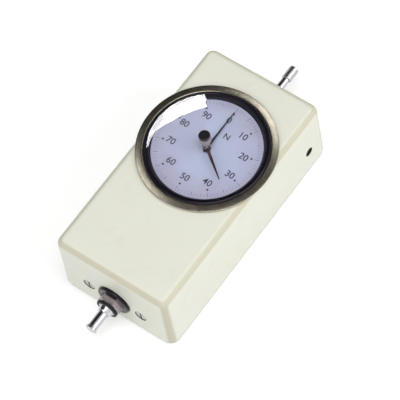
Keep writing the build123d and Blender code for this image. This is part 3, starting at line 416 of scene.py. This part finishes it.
# %% Reset knob
knob_low, knob_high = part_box("reset_knob")
cap_tone = (0.014, 0.013, 0.015)
# The foot's paler tone is a painted reflection of the dial.
foot_reflection_tone = (0.32, 0.275, 0.285)
cap_from, foot_to = 0.8 * mm, 2.2 * mm
black_knob = moulded("black_knob", cap_tone, 0.26, 0.12)
knob_height = black_knob.parts_of(black_knob.place())[2]
# Painted reflection: the foot below the cap is paler and brownish.
foot = 1 - knob_height.rise(knob_high.z - foot_to, knob_high.z - cap_from)
black_knob.drive("Base Color", black_knob.blend(foot, cap_tone, foot_reflection_tone))
dress(black_knob, "reset_knob")
print("knob height, mm:", round((knob_high.z - knob_low.z) / mm, 2))

# %% [markdown]
# The two hands are thin painted strip. The main hand is black and follows the force. The set
# hand is maroon and stays where the reset knob puts it.

# %% Paint on the hands


def hand_paint(name, colour, roughness):
    """A thin coat of paint on a hand, a little uneven."""
    made = Finish(name, colour, Roughness=roughness)
    brushed = made.noise(700, detail=3, stretch=(1, 0.3, 1))
    made.drive("Base Color", made.blend(brushed * 0.4, colour, [p * 1.5 + 0.01 for p in colour]))
    made.drive("Roughness", roughness + brushed * 0.1)
    return made


dress(hand_paint("hand_black", (0.012, 0.012, 0.014), 0.35), "main_hand")
dress(hand_paint("hand_maroon", (0.036, 0.010, 0.016), 0.35), "set_hand")
print("hands painted")

# %% [markdown]
# The new pieces all grow the same way: a cross section is set down again and again along a path,
# and neighbours are joined by faces. Round a closed path the last section joins the first, and
# on an open one both ends get a cap. Shading is smooth, but corners stay sharp.

# %% From sections to a piece


def skin(mesh, sections, closed=False):
    """Joins sections, lists of as many points each, that follow one another."""
    following = sections[1:] + sections[:1] if closed else sections[1:]
    for section, after in zip(sections, following):
        for index in range(len(section)):
            beside = (index + 1) % len(section)
            mesh.faces.new((section[index], after[index], after[beside], section[beside]))
    if not closed:
        mesh.faces.new(sections[0])
        mesh.faces.new(list(reversed(sections[-1])))
    bmesh.ops.recalc_face_normals(mesh, faces=mesh.faces)
    return mesh


def mesh_object(name, mesh, smooth_angle=radians(35)):
    """Turns a bmesh into a smooth shaded object with its sharp edges kept."""
    data = bpy.data.meshes.new(name)
    mesh.to_mesh(data)
    mesh.free()
    data.shade_smooth()
    data.set_sharp_from_angle(angle=smooth_angle)
    piece = bpy.data.objects.new(name, data)
    bpy.context.scene.collection.objects.link(piece)
    return piece


print("sections can be joined")

# %% What a new piece wears and rides on


def wear(piece, finish, body, slot, *replaced):
    """Gives a new piece its finish, its body and the CAD nodes that it stands for; slot is not
    used.
    """
    piece.data.materials.append(finish.material)
    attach(piece, body)
    if replaced:
        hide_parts(*replaced)


# %% [markdown]
# Round pieces that show most are turned again here from a fine profile, the way a lathe would,
# because on a polished ring every flat facet shows as a kink in the reflection. A lathe function
# takes a profile of radius and height and sweeps it round the dial's axis. Its radius can be
# made to waver with the angle, which gives a knurl.

# %% Lathe


def lathe(name, profile, turns=192, waver=None):
    """Closed turned piece on the dial axis from (radius, height) points, in metres."""
    mesh = bmesh.new()
    sections = []
    for step in range(turns):
        angle = tau * step / turns
        section = []
        for index, (radius, height) in enumerate(profile):
            reach = radius + (waver(index, step) if waver else 0)
            section.append(mesh.verts.new((dial_centre.x + reach * cos(angle),
                                           dial_centre.y + reach * sin(angle), height)))
        sections.append(section)
    return mesh_object(name, skin(mesh, sections, closed=True))


def rounding(centre, radius, start, end, steps=6):
    """Points on an arc of a profile, from one angle to another, in degrees."""
    return [(centre[0] + radius * cos(radians(start + (end - start) * i / steps)),
             centre[1] + radius * sin(radians(start + (end - start) * i / steps)))
            for i in range(steps + 1)]


print("lathe ready")

# %% [markdown]
# The bezel is an anodised aluminium ring that is gripped to turn the dial to zero. Its top is
# turned, so it carries fine rings that pull every highlight into a radial fan, and its rim has a
# fine straight knurl. The rings are a one dimensional noise of the distance from the axis.

# %% Turned and anodised face
anodised_tone = (0.42, 0.385, 0.31)
handled_tone = (0.30, 0.27, 0.21)
rings_per_metre = 5200.0
bezel_anodised = Finish("bezel_anodised", anodised_tone, Metallic=1.0, Roughness=0.30)
rings_turned = bezel_anodised.node(
    "TexNoise", {"noise_dimensions": "1D"},
    {"W": bezel_anodised.off_axis(dial_centre), "Scale": rings_per_metre, "Detail": 2.0})
patina = bezel_anodised.noise(160, detail=5, roughness=0.65).rise(0.42, 0.75)
bezel_anodised.drive("Base Color", bezel_anodised.blend(
    patina * 0.22 + rings_turned * 0.15, anodised_tone, handled_tone))
bezel_anodised.drive("Roughness", 0.17 + rings_turned * 0.06 + patina * 0.05)
bezel_anodised.relief(rings_turned, 24 * micron, strength=0.6)
print("turned rings per mm:", rings_per_metre * mm)

# %% Bezel profile
bezel_low, bezel_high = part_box("bezel")
bezel_radius = (bezel_high.x - bezel_low.x) / 2
bezel_width = 4.35 * mm
bezel_bore = bezel_radius - bezel_width
foot_bevel = 0.3 * mm
shoulder = bezel_high.z - 0.75 * mm
rim_round = 0.35 * mm
bore_round = 0.3 * mm
flat_top = 0.9 * mm
bezel_profile = [
    (bezel_bore, bezel_low.z), (bezel_radius - foot_bevel, bezel_low.z),
    (bezel_radius, bezel_low.z + foot_bevel), (bezel_radius, shoulder),
    *rounding((bezel_radius - rim_round, shoulder), rim_round, 15, 85),
    (bezel_bore + flat_top, bezel_high.z),
    *rounding((bezel_bore + bore_round, bezel_high.z - bore_round), bore_round, 90, 180, 4),
]
knurled_points = (2, 3)
print("bezel radius, mm:", round(bezel_radius / mm, 2))

# %% Bezel
knurl_teeth = 230
knurl_depth = 0.14 * mm
knurl_wave = (0.0, 0.6, 1.0, 0.6)


def knurl(index, step):
    """How far a point of the bezel's rim is cut back."""
    return -knurl_depth * knurl_wave[step % len(knurl_wave)] if index in knurled_points else 0


wear(lathe("bezel_rim", bezel_profile, knurl_teeth * len(knurl_wave), knurl),
     bezel_anodised, "bezel_body", "bezel_anodised", "bezel")
print("teeth round the rim:", knurl_teeth)

# %% [markdown]
# The ring that carries the crystal is polished black. Its crown is a full round, which is what
# gives the soft pale lines on either side, so it is turned from arcs and not from chamfers.

# %% Ring round the crystal
ring_low, ring_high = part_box("crystal_ring")
ring_radius = (ring_high.x - ring_low.x) / 2
crystal_low, crystal_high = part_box("crystal")
crystal_radius = (crystal_high.x - crystal_low.x) / 2
skirt_bore = crystal_radius - 2.0 * mm
seat_gap = 0.1 * mm
seat_radius = crystal_radius + seat_gap
dial_seat = dial_radius + seat_gap
ledge = crystal_low.z - 0.2 * mm
crown = (ring_radius - seat_radius) / 2
ring_profile = [
    (skirt_bore, ring_low.z), (crystal_radius, ring_low.z), (crystal_radius, bezel_low.z),
    (ring_radius, bezel_low.z), (ring_radius, ring_high.z - crown),
    *rounding((ring_radius - crown, ring_high.z - crown), crown, 0, 180, 14),
    (seat_radius, ledge), (dial_seat, ledge), (dial_seat, dial_bottom), (skirt_bore, dial_bottom),
]
wear(lathe("crystal_carrier", ring_profile), black_gloss, "bezel_body", "black_gloss",
     "crystal_ring")
print("ring radius, mm:", round(ring_radius / mm, 2))

# %% [markdown]
# The crystal is a shallow dome of acrylic about 1.5 mm thick. Real refraction is worth having
# here, since it bends the edge of the dial. Light from the lamps and the room must still reach
# the dial, so the rays that carry it pass straight through.

# %% Clear acrylic
acrylic_tint = (0.97, 0.98, 0.99)
clear = Finish("crystal_clear", acrylic_tint, Roughness=0.015, IOR=1.49, Transmission_Weight=1.0)
smears = clear.noise(60, detail=5, roughness=0.6).rise(0.5, 0.8)
clear.drive("Roughness", 0.008 + smears * 0.010)
see_through = clear.node("BsdfTransparent", None, {"Color": (0.96, 0.97, 0.98)})
clear.surface(clear.node("MixShader", None, {
    0: clear.rays("Shadow", "Diffuse"),
    1: Signal(clear, clear.shader.outputs["BSDF"]),
    2: see_through}))
print("acrylic nodes:", len(clear.tree.nodes))

# %% Crystal
dome_thickness = 1.5 * mm
edge_height = 1.0 * mm
edge_wall = 1.0 * mm
spindle_gap = 1.5 * mm
dome_steps = 40
edge_top = crystal_low.z + edge_height


def dome(radius, foot, top):
    """(radius, height) points of a shallow dome, from its hole out to its edge."""
    rise = top - foot
    sphere = (radius**2 + rise**2) / (2 * rise)
    reaches = [spindle_gap + (radius - spindle_gap) * i / dome_steps for i in range(dome_steps + 1)]
    return [(reach, top - sphere + sqrt(sphere**2 - reach**2)) for reach in reaches]


upper = dome(crystal_radius, edge_top, crystal_high.z)
lower = dome(crystal_radius - edge_wall, crystal_low.z, crystal_high.z - dome_thickness)
wear(lathe("crystal_dome", [*upper, (crystal_radius, crystal_low.z), *reversed(lower)]),
     clear, "bezel_body", "crystal_clear", "crystal")
print("crystal rise, mm:", round((crystal_high.z - edge_top) / mm, 2))

# %% [markdown]
# The dial is thin sheet, sprayed a cool blue white with a slightly cloudy tone, and printed in
# black. Toward its rim it is painted greyer, which is painted shade from the ring round it. Print
# is only a few hundredths of a millimetre thick, but as raised mesh it stays sharp at any distance
# and needs no image. Figures stand upright at every tenth of the turn, each with a bold dot
# outside it, and a fine scale of a hundred lines runs round the edge. The maker's place is left
# bare.

# %% Dial paint
dial_tone = (0.500, 0.535, 0.705)
# Greyer tone for the painted shade at the rim, also used for the random cloudy tone.
cloud_and_rim_shade_tone = (0.415, 0.378, 0.500)
even_middle = 0.45
dial_white = Finish("dial_white", dial_tone, Roughness=0.5)
cloud = dial_white.noise(45, detail=3)
rim_shade = dial_white.off_axis(dial_centre).rise(even_middle * dial_radius, dial_radius)
# Painted shade toward the rim, with random cloudy tone mixed in.
dial_white.drive("Base Color", dial_white.blend(
    rim_shade * 0.55 + cloud.rise(0.35, 0.75) * 0.45, dial_tone, cloud_and_rim_shade_tone))
dial_white.drive("Roughness", 0.45 + cloud * 0.1)
dial_white.relief(dial_white.noise(2500, detail=2), 3 * micron, strength=0.3)
dress(dial_white, "dial_plate")
print("dial paint nodes:", len(dial_white.tree.nodes))

# %% Printing ink
dial_ink = Finish("dial_ink", (0.03, 0.03, 0.045), Roughness=0.55)
ink_cover = dial_ink.noise(1500, detail=3, roughness=0.6)
full_ink, thin_ink = (0.022, 0.022, 0.032), (0.07, 0.07, 0.10)
dial_ink.drive("Base Color", dial_ink.blend(ink_cover.rise(0.45, 0.8) * 0.5, full_ink, thin_ink))
dial_ink.drive("Roughness", 0.5 + ink_cover * 0.15)
print("ink nodes:", len(dial_ink.tree.nodes))

# %% Printed outlines
print_height = 0.03 * mm
print_sink = 0.01 * mm


def round_dial(radius, turn):
    """Point on the dial at a radius, a share of a turn clockwise from the zero."""
    return Vector((dial_centre.x + radius * sin(tau * turn),
                   dial_centre.y + radius * cos(tau * turn), dial_top - print_sink))


def print_block(mesh, points):
    """Raises a printed shape from its outline, a list of points on the dial."""
    floor_face = mesh.faces.new([mesh.verts.new(point) for point in points])
    raised = bmesh.ops.extrude_face_region(mesh, geom=[floor_face])
    top = [item for item in raised["geom"] if isinstance(item, bmesh.types.BMVert)]
    bmesh.ops.translate(mesh, verts=top, vec=(0, 0, print_height))


print("print stands, mm:", round((print_height - print_sink) / mm, 3))

# %% Printed figures
stroke_gain = 0.06 * mm


def figure_mesh(words, place, size):
    """A plain figure as raised mesh, centred on a place, with its strokes a little fattened."""
    curve = bpy.data.curves.new("figure", "FONT")
    curve.body = words
    curve.size = size
    curve.align_x = "CENTER"
    curve.align_y = "CENTER"
    curve.extrude = print_height / 2
    curve.offset = stroke_gain
    curve.resolution_u = 6
    text = bpy.data.objects.new("figure", curve)
    bpy.context.scene.collection.objects.link(text)
    text.location = place + Vector((0, 0, print_height / 2))
    bpy.context.view_layer.update()
    data = bpy.data.meshes.new_from_object(text.evaluated_get(
        bpy.context.evaluated_depsgraph_get()))
    data.transform(text.matrix_world)
    bpy.data.objects.remove(text)
    return data


print("figures can be printed")

# %% The scale
divisions = 100
dot_radius, dot_size, dot_sides = 26.0 * mm, 0.62 * mm, 16
mark_outer = 30.4 * mm
fine_inner, fine_half_width = 28.6 * mm, 0.06 * mm
bold_inner, bold_half_width = 28.0 * mm, 0.11 * mm
marks = bmesh.new()
for division in range(divisions):
    turn = division / divisions
    bold = division % 5 == 0
    half_width = bold_half_width if bold else fine_half_width
    side = Vector((cos(tau * turn), -sin(tau * turn), 0)) * half_width
    near, far = round_dial(bold_inner if bold else fine_inner, turn), round_dial(mark_outer, turn)
    print_block(marks, [near - side, near + side, far + side, far - side])
    if division % 10 == 0:
        centre = round_dial(dot_radius, turn)
        print_block(marks, [
            centre + Vector((cos(tau * i / dot_sides), sin(tau * i / dot_sides), 0)) * dot_size
            for i in range(dot_sides)])
print("scale faces:", len(marks.faces))

# %% The figures and the unit
figure_size, figure_radius = 5.6 * mm, 21.3 * mm
unit_size = 0.9 * figure_size
unit_place = round_dial(12 * mm, 0) + Vector((5 * mm, 0, 0))
for tenth in range(10):
    marks.from_mesh(figure_mesh(str(10 * tenth), round_dial(figure_radius, tenth / 10),
                                figure_size))
marks.from_mesh(figure_mesh("N", unit_place, unit_size))
bmesh.ops.recalc_face_normals(marks, faces=marks.faces)
wear(mesh_object("dial_print", marks, radians(20)), dial_ink, "bezel_body", "dial_paint")

# %% [markdown]
# The measuring springs are round wire. In the solids they are stiff stand-ins. Here each is a
# helix whose first and last coil lie flat, set in the place of its stand-in.

# %% Round the shaft


def outward_at(turn):
    """Direction away from the shaft's axis after a number of turns."""
    return Vector((cos(tau * turn), 0, sin(tau * turn)))


def spring_share(turn, coils, closed):
    """How far along its length a spring is after some turns; its end coils lie closed."""
    if turn < 1:
        return closed * turn
    if turn > coils - 1:
        return 1 - closed * (coils - turn)
    return closed + (1 - 2 * closed) * (turn - 1) / (coils - 2)


print("a quarter turn points", [round(part, 2) for part in outward_at(0.25)])

# %% Springs
wire_radius = 0.8 * mm
wire_sides = 10
steps_per_coil = 32
forward = Vector((0, 1, 0))


def coil_spring(name, node, coils, fixed_end_low):
    """Compression spring round the shaft axis in a node's place, with closed end coils."""
    low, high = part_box(node)
    coil_radius = (high.x - low.x) / 2 - wire_radius
    length = high.y - low.y - 2 * wire_radius
    mesh = bmesh.new()
    sections = []
    for step in range(coils * steps_per_coil + 1):
        turn = step / steps_per_coil
        outward = outward_at(turn)
        along_axis = spring_share(turn, coils, 2 * wire_radius / length) * length
        centre = Vector((shaft_centre.x, low.y + wire_radius + along_axis, shaft_centre.z))
        centre += outward * coil_radius
        sections.append([mesh.verts.new(
            centre + (outward * cos(tau * i / wire_sides)
                      + forward * sin(tau * i / wire_sides)) * wire_radius)
            for i in range(wire_sides)])
    spring = mesh_object(name, skin(mesh, sections))
    spring.data.materials.append(spring_steel.material)
    ends = [(shaft_centre.x, low.y, shaft_centre.z), (shaft_centre.x, high.y, shaft_centre.z)]
    if not fixed_end_low:
        ends.reverse()
    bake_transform(spring)
    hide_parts(node)
    return round(length / mm, 1)


print("front spring, mm:", coil_spring("front_coil", "front_spring", 9, True))
print("rear spring, mm:", coil_spring("rear_coil", "rear_spring", 5, False))

# %% [markdown]
# The rear end of the shaft is threaded for a hook or an extension rod. A cut thread is a helical
# groove; here a shallow helical ridge stands on the plain end, which looks the same and leaves
# the fitted size alone.

# %% Thread on the rear end
thread_pitch = 1.0 * mm
thread_turns = 8
thread_radius = 3.0 * mm
thread_steps = 36
lead_in = 0.6 * mm
ridge_height, ridge_foot, ridge_half_width = 0.10 * mm, -0.04 * mm, 0.30 * mm
ridge_shape = ((-ridge_half_width, ridge_foot), (0.0, ridge_height),
               (ridge_half_width, ridge_foot))
thread_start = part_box("measuring_shaft")[1].y - lead_in - thread_turns * thread_pitch
thread = bmesh.new()
sections = []
for step in range(thread_turns * thread_steps + 1):
    turn = step / thread_steps
    base = Vector((shaft_centre.x, thread_start + turn * thread_pitch, shaft_centre.z))
    sections.append([thread.verts.new(
        base + outward_at(turn) * (thread_radius + out) + forward * along_axis)
        for along_axis, out in ridge_shape])
wear(mesh_object("rear_thread", skin(thread, sections)), shaft_chrome, "measuring_shaft_body",
     "shaft_chrome")
print("thread turns:", thread_turns)

# %% [markdown]
# The gauge lies on its back on a plain white surface. What looks at the surface straight, or in a
# mirror, or through glass, sees it a little paler than it is, and more so far off where the lamps
# are weak. The page stays white and still keeps a soft shadow.

# %% Floor
floor_half, floor_gap = 3.0, 0.5 * mm
floor_mesh = bmesh.new()
bmesh.ops.create_grid(floor_mesh, x_segments=1, y_segments=1, size=floor_half)
floor = mesh_object("floor", floor_mesh)
floor.location.z = -floor_gap
print("floor lies below the gauge by, mm:", floor_gap / mm)

# %% White page
glow_near, glow_far = 0.30, 0.62
paper = Finish("paper", (0.82, 0.82, 0.82), Roughness=0.9, Specular_IOR_Level=0.0)
paper.drive("Roughness", 0.85 + paper.noise(300, detail=4) * 0.1)
far_off = paper.off_axis(Vector()).rise(0.25, 1.6)
glow = paper.node("MixShader", None, {
    0: far_off,
    1: paper.node("Emission", None, {"Color": (1, 1, 1), "Strength": glow_near}),
    2: paper.node("Emission", None, {"Color": (1, 1, 1), "Strength": glow_far})})
lit = Signal(paper, paper.shader.outputs["BSDF"])
paper.surface(paper.node("MixShader", None, {
    0: paper.rays("Camera", "Glossy", "Transmission"),
    1: lit,
    2: paper.node("AddShader", None, {0: lit, 1: glow})}))
floor.data.materials.append(paper.material)
print("paper nodes:", len(paper.tree.nodes))

# %% [markdown]
# The camera looks down on the front right corner through a long lens, and is turned a little on
# its own axis, so the gauge lies across the frame from lower left to upper right.

# %% Camera
look_at = Vector((-2.07, 6.83, 3.39)) * mm
azimuth, elevation, roll = radians(46.32), radians(61.35), radians(-12.09)
distance = 1.442
towards_camera = Vector((sin(azimuth) * cos(elevation), -cos(azimuth) * cos(elevation),
                         sin(elevation)))
level_right = Vector((cos(azimuth), sin(azimuth), 0))
level_up = towards_camera.cross(level_right)
right = level_right * cos(roll) + level_up * sin(roll)
up = towards_camera.cross(right)
camera_data = bpy.data.cameras.new("camera")
camera_data.sensor_width = 36.0
camera_data.lens = 226.4
camera_data.clip_start, camera_data.clip_end = 0.1, 10
camera = bpy.data.objects.new("camera", camera_data)
bpy.context.scene.collection.objects.link(camera)
facing = Matrix((right, up, towards_camera)).transposed().to_4x4()
camera.matrix_world = Matrix.Translation(look_at + towards_camera * distance) @ facing
bpy.context.scene.camera = camera
bpy.context.scene.view_settings.view_transform = "Standard"
print("camera at, m:", [round(c, 3) for c in camera.location])

# %% [markdown]
# Soft studio light comes from three plain panels: right, overhead and front left. The world gives
# the general level. Glass and metal see the studio itself: white low down and on the right, dark
# overhead on the left, and that is what gives chrome its black and white streaks. Two small
# panels shine on the bezel alone and give its turned face a pale fan on either side. The plain
# panels aren't mirrored in the crystal, so that the dial can be read from every side.

# %% What a lamp shines on


def shine_on(name, spared=False):
    """A set for a lamp that lights one piece alone or, with spared, all but that piece."""
    lit_set = bpy.data.collections.new(("light_off_" if spared else "light_on_") + name)
    lit_set.objects.link(bpy.data.objects[name])
    lit_set.collection_objects[0].light_linking.link_state = "EXCLUDE" if spared else "INCLUDE"
    return lit_set


past_crystal = shine_on("crystal_dome", spared=True)
crystal_alone = shine_on("crystal_dome")
bezel_alone = shine_on("bezel_rim")
print("light sets:", [kept.name for kept in (past_crystal, crystal_alone, bezel_alone)])

# %% Panels
work_place = Vector((0, 0, 20 * mm))


def area_lamp(name, width, depth, radiance, axes, place, only):
    """A rectangular lamp; axes are its right, up and back directions; only: what it shines on."""
    data = bpy.data.lights.new(name, "AREA")
    data.shape = "RECTANGLE"
    data.size, data.size_y = width, depth
    data.energy = radiance * pi * width * depth
    lamp = bpy.data.objects.new(name, data)
    bpy.context.scene.collection.objects.link(lamp)
    lamp.matrix_world = Matrix.Translation(place) @ Matrix(axes).transposed().to_4x4()
    lamp.visible_camera = False
    lamp.light_linking.receiver_collection = only


def panel(name, place, width, depth, radiance, only):
    """A soft panel facing the work, with the brightness of its face."""
    back = (Vector(place) - work_place).normalized()
    level = Vector((0, 0, 1)).cross(back).normalized()
    area_lamp(name, width, depth, radiance, (level, back.cross(level), back), place, only)


panel("right_panel", (1.15, 0.30, 0.80), 1.0, 0.9, 3.05, past_crystal)
panel("overhead_panel", (0.20, -0.20, 1.35), 0.7, 0.7, 3.9, past_crystal)
panel("front_panel", (-0.3, -1.3, 0.8), 0.9, 0.7, 2.75, past_crystal)
panel("bezel_glow_left", (-0.49, 0.04, 0.87), 0.24, 0.24, 2.4, bezel_alone)
panel("bezel_glow_rear", (-0.20, 0.58, 0.79), 0.24, 0.24, 2.8, bezel_alone)

# %% [markdown]
# A window high up on the left is mirrored in the crystal as a white crescent. To get its shape
# right, it is laid out backwards: for a point on the crystal, given by its radius and its angle
# from the zero, we work out where the camera looks after that point has mirrored it. Strips of
# lamp are laid along the crescent's inner edge and reach outward past the rim of the glass. They
# shine on the crystal alone, so the light on the rest stays plain.

# %% What the crystal mirrors
sphere_rise = crystal_high.z - edge_top
sphere_radius = (crystal_radius**2 + sphere_rise**2) / (2 * sphere_rise)
sphere_centre = Vector((dial_centre.x, dial_centre.y, crystal_high.z - sphere_radius))
window_reach = 0.95


def mirrored(radius, degrees):
    """Where the camera sees, in the crystal, at a radius and an angle clockwise from the zero."""
    turn = radians(degrees)
    point = Vector((dial_centre.x + radius * sin(turn), dial_centre.y + radius * cos(turn),
                    sphere_centre.z + sqrt(sphere_radius**2 - radius**2)))
    look = (point - camera.matrix_world.translation).normalized()
    return point + look.reflect((point - sphere_centre).normalized()) * window_reach


print("crystal sphere radius, mm:", round(sphere_radius / mm, 1))

# %% Window
window_radiance = 18.0
window_depth = 0.25
end_depth = 0.05
crescent_end = (24.9 * mm, -35.4)
crescent_shoulder = (24.6 * mm, -72)
crescent_waist = (31 * mm, -104.5)
crescent_tail = (33.5 * mm, -124)


def window_strip(name, corner, along, outward, depth, stretch=1.0):
    """A strip from one corner along to a second point and outward by its depth."""
    corner, along, outward = mirrored(*corner), mirrored(*along), mirrored(*outward)
    edge = (along - corner).normalized()
    length = (along - corner).length * stretch
    across = outward - corner
    across = (across - edge * across.dot(edge)).normalized()
    back = edge.cross(across)
    middle = corner + edge * length / 2 + across * depth / 2
    if back.dot(dial_centre - corner) > 0:
        area_lamp(name, depth, length, window_radiance, (across, edge, -back), middle,
                  crystal_alone)
    else:
        area_lamp(name, length, depth, window_radiance, (edge, across, back), middle,
                  crystal_alone)


window_strip("window_end", crescent_end, (34 * mm, -37.5), crescent_shoulder, end_depth)
window_strip("window_first", crescent_end, crescent_shoulder, (34 * mm, -52), window_depth, 1.5)
window_strip("window_second", crescent_shoulder, crescent_waist, (34 * mm, -85), window_depth, 1.4)
window_strip("window_third", crescent_waist, crescent_tail, (35 * mm, -110), window_depth)

# %% [markdown]
# The world is an even room for the light, and something else for what is looked at. The camera
# sees a white page in every direction. Mirrors and glass see white low down and on the right, and
# a dark room overhead.

# %% World
room_level = 0.45
dark_overhead = 0.04
world = bpy.data.worlds.new("studio")
bpy.context.scene.world = world
world.use_nodes = True
studio = Nodes(world.node_tree)


def even_light(strength):
    """A white background of one strength."""
    return studio.node("Background", None, {"Color": (1, 1, 1), "Strength": strength})


sky_x, _, sky_z = studio.parts_of(studio.node("TexCoord", output="Generated"))
on_the_right = sky_x.rise(0.0, 0.16)
low_down = 1 - sky_z.rise(0.16, 0.30)
white_page = on_the_right.max(low_down).max(studio.rays("Camera"))
looked_at = studio.node("MixShader", None, {
    0: white_page, 1: even_light(dark_overhead), 2: even_light(1.0)})
studio.put(studio.node("MixShader", None, {
    0: studio.rays("Camera", "Glossy", "Transmission"),
    1: even_light(room_level),
    2: looked_at}), studio.tree.nodes["World Output"].inputs["Surface"])
studio.tree.nodes.remove(studio.tree.nodes["Background"])
print("world nodes:", len(world.node_tree.nodes))
